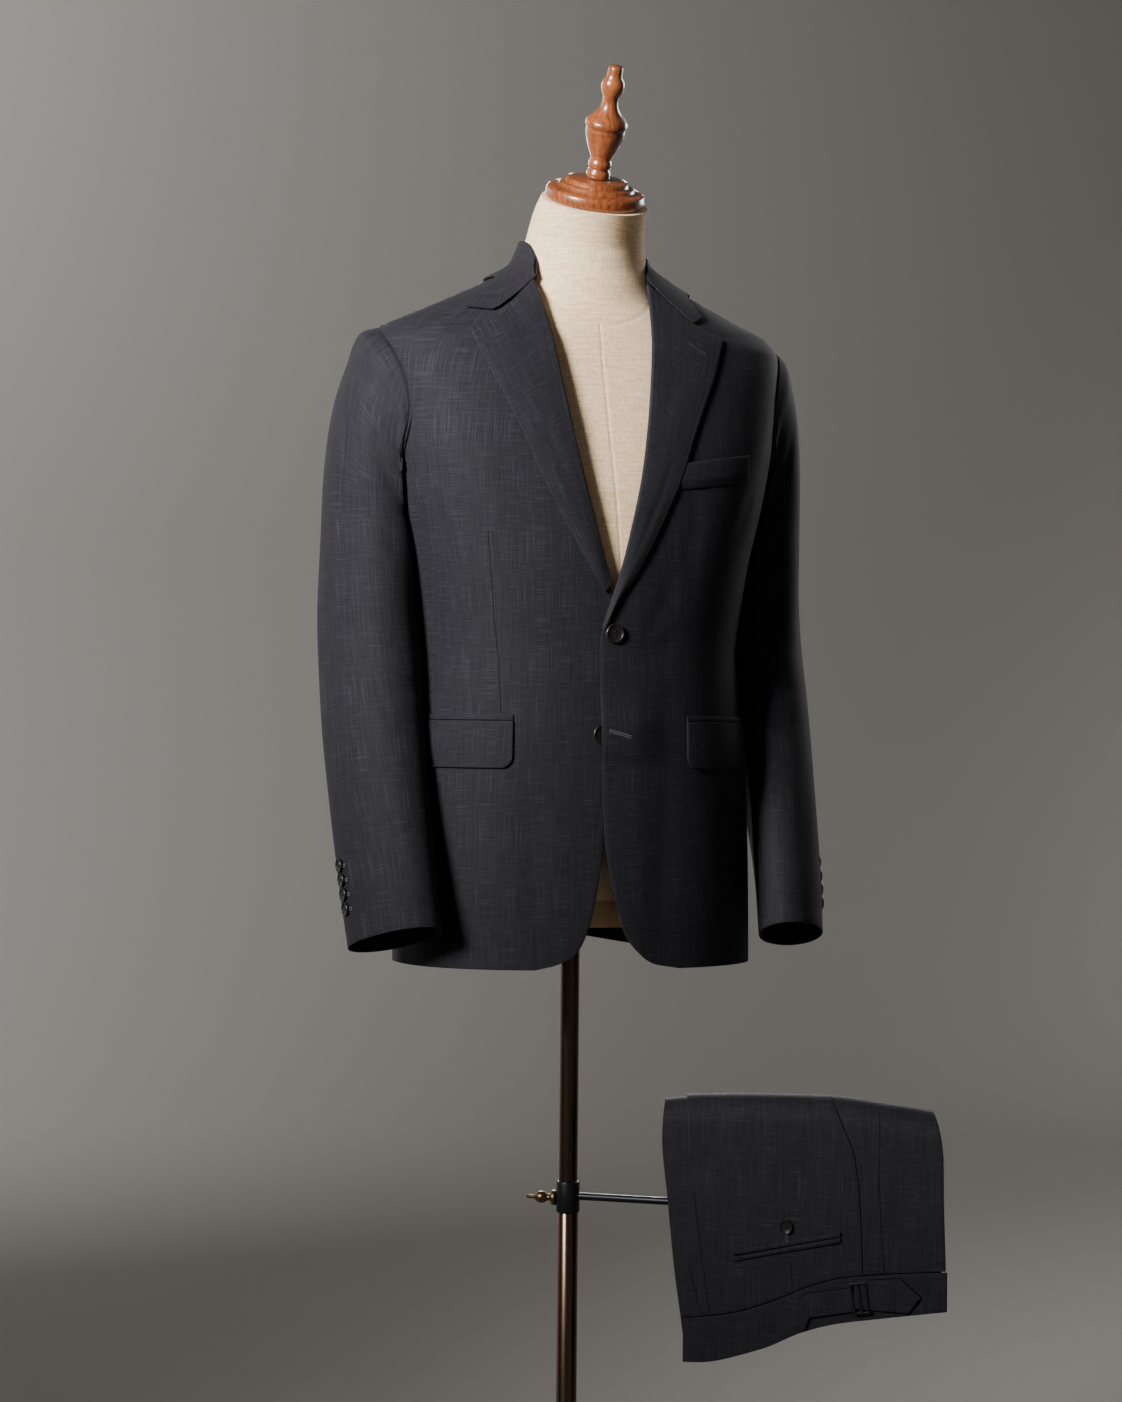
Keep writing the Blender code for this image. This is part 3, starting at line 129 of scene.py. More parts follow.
def finish_of(name, colour, **sockets):
    """A new material with a plain Principled shader: its tree and that shader."""
    made = bpy.data.materials.new(name)
    made.use_nodes = True
    shader = made.node_tree.nodes["Principled BSDF"]
    shader.inputs["Base Color"].default_value = linear(colour)
    for socket, value in sockets.items():
        shader.inputs[socket.replace("_", " ")].default_value = value
    return made, made.node_tree, shader


# %% [markdown]
# ## Floor
# A plain pale floor turns up into a wall behind, all round, so that no edge shows from any
# side. It could be a plane with an extruded edge; a spun profile gives the sweep in one step.

# %% Studio floor
floor_paint, _, _ = finish_of("matt_floor_paint", "#b9b6b1", Roughness=0.9)
STUDIO_RADIUS = 6.4
STUDIO_SWEEP = 1.6      # the floor turns up into the wall over this radius
STUDIO_WALL = 5.0
bm = bmesh.new()
profile = [(0.0, 0.0), *[
    (STUDIO_RADIUS - STUDIO_SWEEP * (1 - math.sin(a)), STUDIO_SWEEP * (1 - math.cos(a)))
    for a in np.linspace(0, math.pi / 2, 13)], (STUDIO_RADIUS, STUDIO_WALL)]
points = [bm.verts.new((radius, 0.0, height)) for radius, height in profile]
lines = [bm.edges.new(pair) for pair in zip(points, points[1:])]
bmesh.ops.spin(bm, geom=points + lines, cent=(0, 0, 0), axis=(0, 0, 1), angle=math.tau, steps=96,
               use_merge=True)
bmesh.ops.remove_doubles(bm, verts=bm.verts[:], dist=1e-5)
bmesh.ops.recalc_face_normals(bm, faces=bm.faces[:])
bmesh.ops.reverse_faces(bm, faces=bm.faces[:])
floor = bpy.data.objects.new("floor", bpy.data.meshes.new("floor"))
bm.to_mesh(floor.data)
bm.free()
floor.data.materials.append(floor_paint)
floor.data.shade_smooth()
bpy.context.scene.collection.objects.link(floor)
print("floor", STUDIO_RADIUS, "m to the wall, sweep", STUDIO_SWEEP, "m")

# %% [markdown]
# ### Worsted wool
# The suiting is a plain-woven worsted: combed wool yarn in two close greys. The eye gets fine
# upright streaks from the warp, fainter level ones from the weft, a few thicker slubs, and a
# soft sheen at the edges. The yarns are about 0.4 mm apart, too fine for the picture, so the
# streaks are drawn about 1 mm wide. The pattern follows a UV map in metres, so it runs with
# the cloth around the body and down the sleeves. Darts, inner seams and the outline of sewn-on
# pieces are thin dark lines of painted shade on the same map, also sunk a little in the bump:
# a short chain of nodes gives the distance to a line from end to end.


# %% Worsted
STREAK_WIDE = 0.0010
WARP_LONG = 0.040
WEFT_LONG = 0.022
SPECK = 0.0009
SLUB_WIDE = 0.0009
SLUB_LONG = 0.060
SLUB_FROM, SLUB_TO = 0.70, 0.82     # of the noise, so that slubs are few
SLUB_STRENGTH = 0.40
SEAM_LINE_WIDE = 0.0011
SEAM_STRENGTH = 0.70
SEAM_SUNK = -2.5                    # against the weave's own height of about 1
YARN_DARK, YARN_LIGHT, YARN_SLUB, SEAM_SHADE = "#121115", "#28272d", "#3b3a41", "#060607"


def line_mask(tree, chart, start, end):
    """1 on the line from start to end, fading to 0 at its width."""
    run = Vector((end[0] - start[0], end[1] - start[1], 0.0))
    away = node(tree, "ShaderNodeVectorMath", {1: (*start, 0.0)}, {0: chart}, operation="SUBTRACT")
    along = node(tree, "ShaderNodeVectorMath", {1: run / run.length_squared},
                 {0: away.outputs["Vector"]}, operation="DOT_PRODUCT")
    held = node(tree, "ShaderNodeClamp", {}, {"Value": along.outputs["Value"]})
    foot = node(tree, "ShaderNodeVectorMath", {0: run}, {"Scale": held.outputs[0]},
                operation="SCALE")
    gap = node(tree, "ShaderNodeVectorMath", {},
               {0: away.outputs["Vector"], 1: foot.outputs["Vector"]}, operation="DISTANCE")
    return node(tree, "ShaderNodeMapRange",
                {"From Min": 0.0, "From Max": SEAM_LINE_WIDE, "To Min": 1.0, "To Max": 0.0},
                {"Value": gap.outputs["Value"]}, interpolation_type="SMOOTHSTEP").outputs[0]


def worsted(name, lines=()):
    """The suiting. Each of the lines runs from one point of the chart to another, as a thin
    line of painted shade along a seam or round a sewn-on piece.
    """
    made, tree, shader = finish_of(name, "#212025", Roughness=0.75, Sheen_Weight=0.03,
                                   Sheen_Roughness=0.45, Specular_IOR_Level=0.18)
    chart = node(tree, "ShaderNodeUVMap", uv_map="cloth").outputs["UV"]
    yarns = []
    for wide, long, share in ((STREAK_WIDE, WARP_LONG, 0.42), (WEFT_LONG, STREAK_WIDE, 0.28),
                              (SPECK, SPECK, 0.30)):
        scaled = node(tree, "ShaderNodeVectorMath", {1: (1 / wide, 1 / long, 1.0)}, {0: chart},
                      operation="MULTIPLY")
        noise = node(tree, "ShaderNodeTexNoise", {"Scale": 1.0, "Detail": 3.0, "Roughness": 0.6},
                     {"Vector": scaled.outputs["Vector"]}, noise_dimensions="2D")
        yarns.append(node(tree, "ShaderNodeMath", {1: share}, {0: noise.outputs[0]},
                          operation="MULTIPLY").outputs[0])
    pair = node(tree, "ShaderNodeMath", {}, {0: yarns[0], 1: yarns[1]}, operation="ADD").outputs[0]
    weave = node(tree, "ShaderNodeMath", {}, {0: pair, 1: yarns[2]}, operation="ADD").outputs[0]
    tone = node(tree, "ShaderNodeMapRange", {"From Min": 0.36, "From Max": 0.64},
                {"Value": weave}).outputs[0]
    colour = node(tree, "ShaderNodeMix", {6: linear(YARN_DARK), 7: linear(YARN_LIGHT)},
                  {0: tone}, data_type="RGBA").outputs[2]
    for wide, long in ((SLUB_WIDE, SLUB_LONG), (SLUB_LONG * 0.5, SLUB_WIDE)):
        scaled = node(tree, "ShaderNodeVectorMath", {1: (1 / wide, 1 / long, 1.0)}, {0: chart},
                      operation="MULTIPLY")
        noise = node(tree, "ShaderNodeTexNoise", {"Scale": 1.0, "Detail": 0.0},
                     {"Vector": scaled.outputs["Vector"]}, noise_dimensions="2D")
        slub = node(tree, "ShaderNodeMapRange",
                    {"From Min": SLUB_FROM, "From Max": SLUB_TO, "To Min": 0.0,
                     "To Max": SLUB_STRENGTH}, {"Value": noise.outputs[0]}).outputs[0]
        colour = node(tree, "ShaderNodeMix", {7: linear(YARN_SLUB)}, {0: slub, 6: colour},
                      data_type="RGBA").outputs[2]
    height = weave
    for start, end in lines:
        # Painted shade: each line darkens the colour and sinks the bump, as shade in a seam.
        mask = line_mask(tree, chart, start, end)
        darker = node(tree, "ShaderNodeMath", {1: SEAM_STRENGTH}, {0: mask},
                      operation="MULTIPLY").outputs[0]
        colour = node(tree, "ShaderNodeMix", {7: linear(SEAM_SHADE)}, {0: darker, 6: colour},
                      data_type="RGBA").outputs[2]
        height = node(tree, "ShaderNodeMath", {1: SEAM_SUNK}, {0: mask, 2: height},
                      operation="MULTIPLY_ADD").outputs[0]
    bump = node(tree, "ShaderNodeBump", {"Strength": 0.55, "Distance": 0.0003}, {"Height": height})
    tree.links.new(colour, shader.inputs["Base Color"])
    tree.links.new(bump.outputs["Normal"], shader.inputs["Normal"])
    return made


suiting = worsted("worsted_wool")
print("suiting streaks", STREAK_WIDE * 1000, "mm wide")

# %% [markdown]
# ### Linen, wood, metal, horn and thread
# The form's cover is plain linen: matt, with uneven threads both ways. The neck cap and the
# finial are turned beech, stained red-brown and lacquered, so a clear coat lies over a grain
# that runs upward. The tubes are steel plated a dark bronze; the clamp is black satin, its
# knob darkened brass. The buttons are satin-polished black horn with faint cloudy streaks.


# %% Linen
LINEN_DARK, LINEN_LIGHT, HEM_SHADOW_COLOUR = "#dfb98c", "#fee2bc", "#b58e68"
HEM_SHADE = (0.862, 0.866)      # the band below these heights is darkened with painted shade, for the jacket's shadow on it


def linen():
    """The form's cover. It follows the object's own metres, level and upright."""
    made, tree, shader = finish_of("linen_cover", "#e6dccf", Roughness=0.92, Sheen_Weight=0.1)
    place = node(tree, "ShaderNodeTexCoord").outputs["Object"]
    threads = []
    for scale in ((1 / 0.0012, 1 / 0.0012, 1 / 0.014), (1 / 0.02, 1 / 0.02, 1 / 0.0012)):
        scaled = node(tree, "ShaderNodeVectorMath", {1: scale}, {0: place}, operation="MULTIPLY")
        threads.append(node(tree, "ShaderNodeTexNoise", {"Scale": 1.0, "Detail": 2.0},
                            {"Vector": scaled.outputs["Vector"]}).outputs[0])
    weave = node(tree, "ShaderNodeMath", {}, {0: threads[0], 1: threads[1]},
                 operation="ADD").outputs[0]
    tone = node(tree, "ShaderNodeMapRange", {"From Min": 0.75, "From Max": 1.25},
                {"Value": weave}).outputs[0]
    colour = node(tree, "ShaderNodeMix", {6: linear(LINEN_DARK), 7: linear(LINEN_LIGHT)},
                  {0: tone}, data_type="RGBA").outputs[2]
    height = node(tree, "ShaderNodeSeparateXYZ", {}, {0: place}).outputs["Z"]
    # Painted shade: below the hem band's seam the linen turns darker, for the jacket's shadow.
    low = node(tree, "ShaderNodeMapRange",
               {"From Min": HEM_SHADE[0], "From Max": HEM_SHADE[1], "To Min": 0.75,
                "To Max": 0.0},
               {"Value": height}).outputs[0]
    colour = node(tree, "ShaderNodeMix", {7: linear(HEM_SHADOW_COLOUR)}, {0: low, 6: colour},
                  data_type="RGBA").outputs[2]
    bump = node(tree, "ShaderNodeBump", {"Strength": 0.5, "Distance": 0.0004}, {"Height": weave})
    tree.links.new(colour, shader.inputs["Base Color"])
    tree.links.new(bump.outputs["Normal"], shader.inputs["Normal"])
    return made


# %% Wood
GRAIN_WIDE, GRAIN_LONG = 0.0030, 0.045


def lacquered_beech():
    """Stained beech, its grain upward, under a clear coat."""
    made, tree, shader = finish_of("lacquered_beech", "#7a3a1c", Roughness=0.32, Coat_Weight=0.6,
                                   Coat_Roughness=0.12)
    place = node(tree, "ShaderNodeTexCoord").outputs["Object"]
    stretch = (1 / GRAIN_WIDE, 1 / GRAIN_WIDE, 1 / GRAIN_LONG)
    scaled = node(tree, "ShaderNodeVectorMath", {1: stretch}, {0: place}, operation="MULTIPLY")
    grain = node(tree, "ShaderNodeTexNoise", {"Scale": 1.0, "Detail": 4.0, "Distortion": 0.4},
                 {"Vector": scaled.outputs["Vector"]}).outputs[0]
    broad = node(tree, "ShaderNodeTexNoise", {"Scale": 28.0, "Detail": 1.0}, {"Vector": place})
    both = node(tree, "ShaderNodeMath", {1: 0.65}, {0: grain}, operation="MULTIPLY").outputs[0]
    both = node(tree, "ShaderNodeMath", {1: 0.35, 2: 0.0}, {0: broad.outputs[0], 2: both},
                operation="MULTIPLY_ADD").outputs[0]
    tone = node(tree, "ShaderNodeMapRange", {"From Min": 0.35, "From Max": 0.65},
                {"Value": both}).outputs[0]
    colour = node(tree, "ShaderNodeMix", {6: linear("#5b2912"), 7: linear("#9c5830")}, {0: tone},
                  data_type="RGBA").outputs[2]
    bump = node(tree, "ShaderNodeBump", {"Strength": 0.15, "Distance": 0.0002}, {"Height": grain})
    tree.links.new(colour, shader.inputs["Base Color"])
    tree.links.new(bump.outputs["Normal"], shader.inputs["Normal"])
    return made


# %% Metals, horn and thread
def worn(name, colour, worn_colour, roughness, metallic, scale, **sockets):
    """A hard finish whose tone and gloss vary softly, stretched as the scale says."""
    made, tree, shader = finish_of(name, colour, Roughness=roughness, Metallic=metallic, **sockets)
    place = node(tree, "ShaderNodeTexCoord").outputs["Object"]
    scaled = node(tree, "ShaderNodeVectorMath", {1: scale}, {0: place}, operation="MULTIPLY")
    cloud = node(tree, "ShaderNodeTexNoise", {"Scale": 1.0, "Detail": 3.0},
                 {"Vector": scaled.outputs["Vector"]}).outputs[0]
    mixed = node(tree, "ShaderNodeMix", {6: linear(colour), 7: linear(worn_colour)}, {0: cloud},
                 data_type="RGBA")
    gloss = node(tree, "ShaderNodeMapRange",
                 {"To Min": roughness * 0.75, "To Max": roughness * 1.25}, {"Value": cloud})
    tree.links.new(mixed.outputs[2], shader.inputs["Base Color"])
    tree.links.new(gloss.outputs[0], shader.inputs["Roughness"])
    return made


linen_cover = linen()
beech = lacquered_beech()
bronze = worn("bronze_plated_steel", "#4f3f37", "#75604f", 0.24, 1.0, (900, 900, 12))
black_satin = worn("black_painted_metal", "#17181a", "#26272a", 0.38, 0.6, (90, 90, 90))
brass = worn("darkened_brass", "#4b3d2c", "#8a744f", 0.36, 1.0, (260, 260, 260))
horn = worn("black_horn", "#0c0c0e", "#211e1d", 0.36, 0.0, (300, 300, 90),
            Specular_IOR_Level=0.4)
button_thread = worn("black_button_thread", "#141416", "#2a2a2e", 0.8, 0.0, (900, 900, 900))
silk_thread = worn("grey_silk_thread", "#17161a", "#2c2b30", 0.7, 0.0, (900, 900, 900))
hole_thread = worn("buttonhole_twist", "#3d3d43", "#57575d", 0.7, 0.0, (900, 900, 900))
print("materials", len(bpy.data.materials))


# %% [markdown]
# ## Lines, tables and the body's sections
# A garment is drafted from a few measured lines. Here each line is a short table, and one
# helper draws a smooth curve through a column. The jacket and the form are level sections: a
# half width, a front and a back depth, and how square the section is.


# %% Curve helpers
def curve(keys, values):
    """A smooth line through the pairs, that never swings past them."""
    keys = [float(key) for key in keys]
    values = [float(value) for value in values]
    steps = [
        (right - left) / (after - before)
        for before, after, left, right in zip(keys, keys[1:], values, values[1:])
    ]
    slopes = [steps[0]]
    for left, right in zip(steps, steps[1:]):
        slopes.append(0.0 if left * right <= 0 else 2 * left * right / (left + right))
    slopes.append(steps[-1])

    def at(key):
        key = min(max(key, keys[0]), keys[-1])
        i = min(bisect_right(keys, key), len(keys) - 1) - 1
        span = keys[i + 1] - keys[i]
        u = (key - keys[i]) / span
        return (
            values[i] * (1 + 2 * u) * (1 - u) ** 2
            + values[i + 1] * (3 - 2 * u) * u * u
            + span * (slopes[i] * u * (1 - u) ** 2 - slopes[i + 1] * u * u * (1 - u))
        )

    return at


def columns(rows):
    """One smooth line for each column of a table after the first, which is the key."""
    keys = [row[0] for row in rows]
    return [curve(keys, [row[i] for row in rows]) for i in range(1, len(rows[0]))]


def mix(a, b, share):
    return a + (b - a) * share


def ease(share):
    share = min(max(share, 0.0), 1.0)
    return share * share * (3 - 2 * share)


# %% Sections of the jacket and the form
CLOTH = 0.0020            # wall of the jacket and trousers
SEAM = 0.0006             # width of the line between two joined panels
ON_PANEL = 0.0007         # lift of a piece that lies on a panel
SLIP = 0.0003             # running gap between the stand's sliding pieces
CENTRE_X = -0.010         # the jacket's centre front line
HEM = 0.7945              # height of the jacket's hem
NECK_SEAM = 1.512         # height where the panels end under the collar
Section = namedtuple("Section", "height half_width front back middle squareness")
JACKET = (
    Section(0.780, 0.191, 0.149, 0.134, 0.000, 2.3),
    Section(0.860, 0.190, 0.149, 0.132, 0.000, 2.3),
    Section(0.940, 0.188, 0.147, 0.127, 0.000, 2.3),
    Section(1.020, 0.182, 0.146, 0.117, 0.000, 2.3),
    Section(1.120, 0.173, 0.145, 0.107, 0.000, 2.3),
    Section(1.200, 0.182, 0.148, 0.113, 0.000, 2.4),
    Section(1.280, 0.201, 0.145, 0.122, 0.002, 2.5),
    Section(1.340, 0.213, 0.136, 0.127, 0.004, 2.6),
    Section(1.400, 0.221, 0.122, 0.122, 0.004, 2.6),
    Section(1.440, 0.225, 0.111, 0.110, 0.002, 2.4),
    Section(1.457, 0.214, 0.104, 0.100, 0.000, 2.2),
    Section(1.475, 0.178, 0.096, 0.089, -0.002, 2.1),
    Section(1.495, 0.134, 0.087, 0.076, -0.005, 2.0),
    Section(1.512, 0.100, 0.080, 0.066, -0.008, 2.0),
    Section(1.530, 0.078, 0.076, 0.057, -0.010, 2.0),
    Section(1.560, 0.066, 0.076, 0.048, -0.014, 2.0),
)
FORM = (
    Section(0.836, 0.158, 0.122, 0.105, 0.000, 2.2),
    Section(0.848, 0.164, 0.127, 0.110, 0.000, 2.2),
    Section(0.920, 0.166, 0.131, 0.110, 0.000, 2.2),
    Section(1.020, 0.158, 0.131, 0.098, 0.000, 2.2),
    Section(1.110, 0.151, 0.131, 0.091, 0.000, 2.2),
    Section(1.200, 0.163, 0.140, 0.099, 0.000, 2.3),
    Section(1.280, 0.178, 0.135, 0.107, 0.000, 2.3),
    Section(1.340, 0.187, 0.124, 0.111, 0.002, 2.4),
    Section(1.400, 0.190, 0.111, 0.107, 0.002, 2.4),
    Section(1.430, 0.184, 0.105, 0.099, 0.000, 2.3),
    Section(1.452, 0.160, 0.101, 0.089, -0.002, 2.2),
    Section(1.470, 0.124, 0.096, 0.078, -0.006, 2.1),
    Section(1.486, 0.096, 0.091, 0.068, -0.010, 2.0),
    Section(1.505, 0.0782, 0.089, 0.060, -0.014, 2.0),
    Section(1.525, 0.0692, 0.087, 0.051, -0.018, 2.0),
    Section(1.550, 0.0630, 0.088, 0.037, -0.026, 2.0),
    Section(1.575, 0.0590, 0.0955, 0.021, -0.038, 2.0),
    Section(1.592, 0.0560, 0.1060, 0.000, -0.053, 2.0),
)
NECK_TILT = math.radians(22.0)      # the neck's top plane leans forward by this
FINIAL_TILT = math.radians(26.0)
NECK_TILT_FROM = 1.500              # the level sections start to tip here
FORM_TOP = FORM[-1].height


class Body:
    """A closed upright surface made of level sections."""

    def __init__(self, rows):
        self.half_width, self.front, self.back, self.middle, self.squareness = columns(rows)

    def around(self, turn, height):
        """The point at this angle from the front, positive towards the wearer's left."""
        middle = self.middle(height)
        power = self.squareness(height)
        c = math.cos(turn)
        s = math.sin(turn)
        depth = self.front(height) + middle if c > 0 else self.back(height) - middle
        reach = (abs(s) / self.half_width(height)) ** power + (abs(c) / depth) ** power
        reach = reach ** (-1 / power)
        return Vector((reach * s, middle - reach * c, height))

    def side_x(self, y, height):
        middle = self.middle(height)
        power = self.squareness(height)
        depth = self.front(height) + middle if y < middle else self.back(height) - middle
        left = max(0.0, 1 - (abs(y - middle) / depth) ** power)
        return self.half_width(height) * left ** (1 / power)

    def turn_at_x(self, x, height):
        """The angle of the front point with this x."""
        middle = self.middle(height)
        power = self.squareness(height)
        depth = self.front(height) + middle
        left = max(0.0, 1 - (abs(x) / self.half_width(height)) ** power)
        return math.atan2(x, depth * left ** (1 / power))

    def turn_at_y(self, y, height):
        """The angle of the wearer's left point with this y."""
        return math.atan2(self.side_x(y, height), self.middle(height) - y)


jacket = Body(JACKET)
form = Body(FORM)
print("half chest", round(math.pi / 2 * (jacket.half_width(1.3) + jacket.front(1.3)), 3), "m")

# %% [markdown]
# ## One way to make a cloth shell
# Each cut piece is a grid of points laid on its surface. The grid gets a UV map in metres, as
# a chart of the cut cloth, then its creases: soft troughs with a place, a direction, a length,
# a width and a depth. Solidify gives the wall its thickness and Bevel rounds the cut edge, as
# a pressed edge is round. The same helper measures the cut size of the piece.

# %% Shell helper
Crease = namedtuple("Crease", "u v turn long wide deep")


def creases(*rows):
    """A table of creases, a row for each: u, v, turn, long, wide, deep."""
    return [Crease(*row) for row in rows]


def crease_depth(pressed, u, v):
    total = 0.0
    for c in pressed:
        a = math.radians(c.turn)
        along = (u - c.u) * math.cos(a) + (v - c.v) * math.sin(a)
        across = (v - c.v) * math.cos(a) - (u - c.u) * math.sin(a)
        near = (along / c.long) ** 2 + (across / c.wide) ** 2
        if near < 9:
            total -= c.deep * math.exp(-near)
    return total


def finished(name, bm, look, body, replaces=()):
    """Turns a bmesh into a smooth-shaded piece that rides on its body."""
    mesh = bpy.data.meshes.new(name)
    bm.to_mesh(mesh)
    bm.free()
    mesh.materials.append(look)
    mesh.shade_smooth()
    made = bpy.data.objects.new(name, mesh)
    bpy.context.scene.collection.objects.link(made)
    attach(made, body)
    if replaces:
        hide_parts(*replaces)
    return made


def shell(name, surface, across, along, replaces=(), side=1, thick=0.0018, pressed=(), chart=None,
          relief=None, look=None, body="form", rim=0.0005):
    """A piece of cloth whose outer face is surface(s, t) over the unit square."""
    cols = across if isinstance(across, list) else list(np.linspace(0, 1, across + 1))
    rows = along if isinstance(along, list) else list(np.linspace(0, 1, along + 1))
    bm = bmesh.new()
    bmesh.ops.create_grid(bm, x_segments=len(cols) - 1, y_segments=len(rows) - 1, size=0.5)
    spots, grid = {}, {}
    for vert in bm.verts:
        i = round((vert.co.x + 0.5) * (len(cols) - 1))
        j = round((vert.co.y + 0.5) * (len(rows) - 1))
        spots[vert] = (float(cols[i]), float(rows[j]))
        grid[i, j] = vert
        vert.co = surface(*spots[vert])
    wide = max(sum((grid[i + 1, j].co - grid[i, j].co).length for i in range(len(cols) - 1))
               for j in range(len(rows)))
    long = max(sum((grid[i, j + 1].co - grid[i, j].co).length for j in range(len(rows) - 1))
               for i in range(len(cols)))
    if side < 0:
        bmesh.ops.reverse_faces(bm, faces=bm.faces[:])
    place = {vert: chart(*spot) if chart else (spot[0] * wide, spot[1] * long)
             for vert, spot in spots.items()}
    layer = bm.loops.layers.uv.new("cloth")
    for face in bm.faces:
        for loop in face.loops:
            loop[layer].uv = place[loop.vert]
    bm.normal_update()
    area = sum(face.calc_area() for face in bm.faces)
    moves = [(vert, vert.normal * (crease_depth(pressed, *place[vert])
                                   + (relief(*spots[vert]) if relief else 0.0)))
             for vert in bm.verts]
    for vert, move in moves:
        vert.co += move
    made = finished(name, bm, look or suiting, body, replaces)
    wall = made.modifiers.new("wall", "SOLIDIFY")
    wall.thickness = thick
    wall.offset = -1.0
    if rim:
        edge = made.modifiers.new("rounded_edge", "BEVEL")
        edge.width = rim
        edge.segments = 2
        edge.limit_method = "ANGLE"
        edge.angle_limit = math.radians(55)
    return made


def dense(start, stop, count, marks=(), near=0.004):
    """Shares from start to stop, with extra ones close to each mark."""
    shares = set(np.round(np.linspace(start, stop, count + 1), 5))
    for mark in marks:
        shares |= {round(min(max(mark + k * near, start), stop), 5) for k in (-1, -0.5, 0, 0.5, 1)}
    return sorted(shares)


# %% [markdown]
# ## The fronts
# Each front is one cut piece from the front edge round to the side seam, up to the armhole
# and the shoulder. The left one laps over the right. A long dart shapes the waist and ends at
# the pocket. The cloth is pressed smooth, with soft drag lines from the fastened button.

# %% Lines of the fronts
FrontEdge = namedtuple("FrontEdge", "height left right")
FRONT_EDGE = (
    FrontEdge(0.7945, 0.0780, 0.0780),
    FrontEdge(0.8000, 0.0470, 0.0560),
    FrontEdge(0.8100, 0.0310, 0.0375),
    FrontEdge(0.8300, 0.0144, 0.0262),
    FrontEdge(0.8650, 0.0041, 0.0167),
    FrontEdge(0.8980, -0.0033, 0.0110),
    FrontEdge(0.9300, -0.0077, 0.0075),
    FrontEdge(1.0000, -0.0107, -0.0030),
    FrontEdge(1.0550, -0.0122, -0.0100),
    FrontEdge(1.1380, -0.0128, -0.0120),
)
Lapel = namedtuple("Lapel", "height roll edge_height edge")
LAPEL = (
    Lapel(1.1380, -0.0128, 1.1360, -0.0118),
    Lapel(1.1720, -0.0020, 1.1650, 0.0015),
    Lapel(1.2030, 0.0085, 1.1950, 0.0200),
    Lapel(1.2466, 0.0202, 1.2400, 0.0460),
    Lapel(1.3090, 0.0355, 1.2940, 0.0735),
    Lapel(1.3830, 0.0481, 1.3500, 0.0960),
    Lapel(1.4440, 0.0564, 1.4070, 0.1220),
    Lapel(1.5030, 0.0625, 1.4480, 0.1380),
)
LAPEL_LINE_DIP = 0.0085     # the notch corner lies this far under the line from roll to tip
LAPEL_THICK = 0.0020
LAPEL_LIFT = 0.0011
LAPEL_TUCK = 0.0012         # the front's own edge stays this far behind the roll line
LAPEL_TUCK_TOP = 0.0110     # and this far at the neck
LAPEL_TUCK_FROM = 1.440
LAPEL_RIGHT_FROM = 0.205    # the right lapel's share of length that the left front covers
OVERLAP_LIFT = 0.0031       # the left front lies this far over the right one at the closing
OVERLAP_WIDE = 0.018
OVERLAP_REACH = 0.050
BUTTON_BULGE = 0.0040       # and this much further over the unfastened lower button
BUTTON_BULGE_TALL = 0.026
ARMHOLE_HEIGHT = 1.3725
ARMHOLE_HALF_HEIGHT = 0.0830
ARMHOLE_Y = 0.0100
ARMHOLE_FRONT = 0.0720
ARMHOLE_BACK = 0.0600
SHOULDER_SEAM = math.radians(92.6)
FRONT_SEAM = math.radians(84.0)
BACK_SEAM = math.radians(108.0)
TOP_BUTTON = (0.0010, 1.1376)       # distance from the centre line and height
LOW_BUTTON = (0.0105, 1.0345)
edge_left, edge_right = columns(FRONT_EDGE)
LAPEL_SHARES = [i / (len(LAPEL) - 1) for i in range(len(LAPEL))]
roll_height = curve(LAPEL_SHARES, [row.height for row in LAPEL])
roll_out = curve(LAPEL_SHARES, [row.roll for row in LAPEL])
lapel_height = curve(LAPEL_SHARES, [row.edge_height for row in LAPEL])
lapel_out = curve(LAPEL_SHARES, [row.edge for row in LAPEL])
roll_at = curve([row.height for row in LAPEL], [row.roll for row in LAPEL])
lapel_edge_at = curve([row.edge_height for row in LAPEL], [row.edge for row in LAPEL])
BREAK = LAPEL[0].height
FRONT_ROWS = (HEM, 0.798, 0.804, 0.815, 0.835, 0.865, 0.905, 0.955, 1.000, 1.018, 1.034, 1.050,
              1.090, 1.140, 1.190, 1.240, 1.285, 1.320, 1.350, 1.385, 1.415, 1.435, 1.448,
              1.458, 1.468, 1.480, 1.495, NECK_SEAM)
BACK_ROWS = (HEM, 0.850, 0.910, 0.970, 1.030, 1.090, 1.140, 1.190, 1.240, 1.290, 1.330, 1.370,
             1.405, 1.430, 1.447, 1.458, 1.468, 1.480, 1.495, NECK_SEAM)
SIDE_ROWS = (HEM, 0.850, 0.910, 0.970, 1.030, 1.090, 1.140, 1.190, 1.240, 1.285, 1.320)
ARMHOLE_TOP = ARMHOLE_HEIGHT + ARMHOLE_HALF_HEIGHT


# %% Where a front ends
def normal_of(surface, s, t, step=0.002):
    """Unit normal of a surface given over the unit square."""
    s0, s1 = max(s - step, 0.0), min(s + step, 1.0)
    t0, t1 = max(t - step, 0.0), min(t + step, 1.0)
    across = surface(s1, t) - surface(s0, t)
    along = surface(s, t1) - surface(s, t0)
    return across.cross(along).normalized()


def moved(surface, s, t, out, side=1):
    return surface(s, t) + normal_of(surface, s, t) * out * side


def heights(rows):
    """Maps 0..1 to the listed heights, one share for each step between them."""
    shares = [i / (len(rows) - 1) for i in range(len(rows))]
    return lambda t: float(np.interp(t, shares, rows))


def armhole_y(height, back):
    """y of the armhole's front or back line at this height."""
    level = (height - ARMHOLE_HEIGHT) / ARMHOLE_HALF_HEIGHT
    reach = math.sqrt(max(0.0, 1 - level * level))
    return ARMHOLE_Y + reach * (ARMHOLE_BACK if back else -ARMHOLE_FRONT)


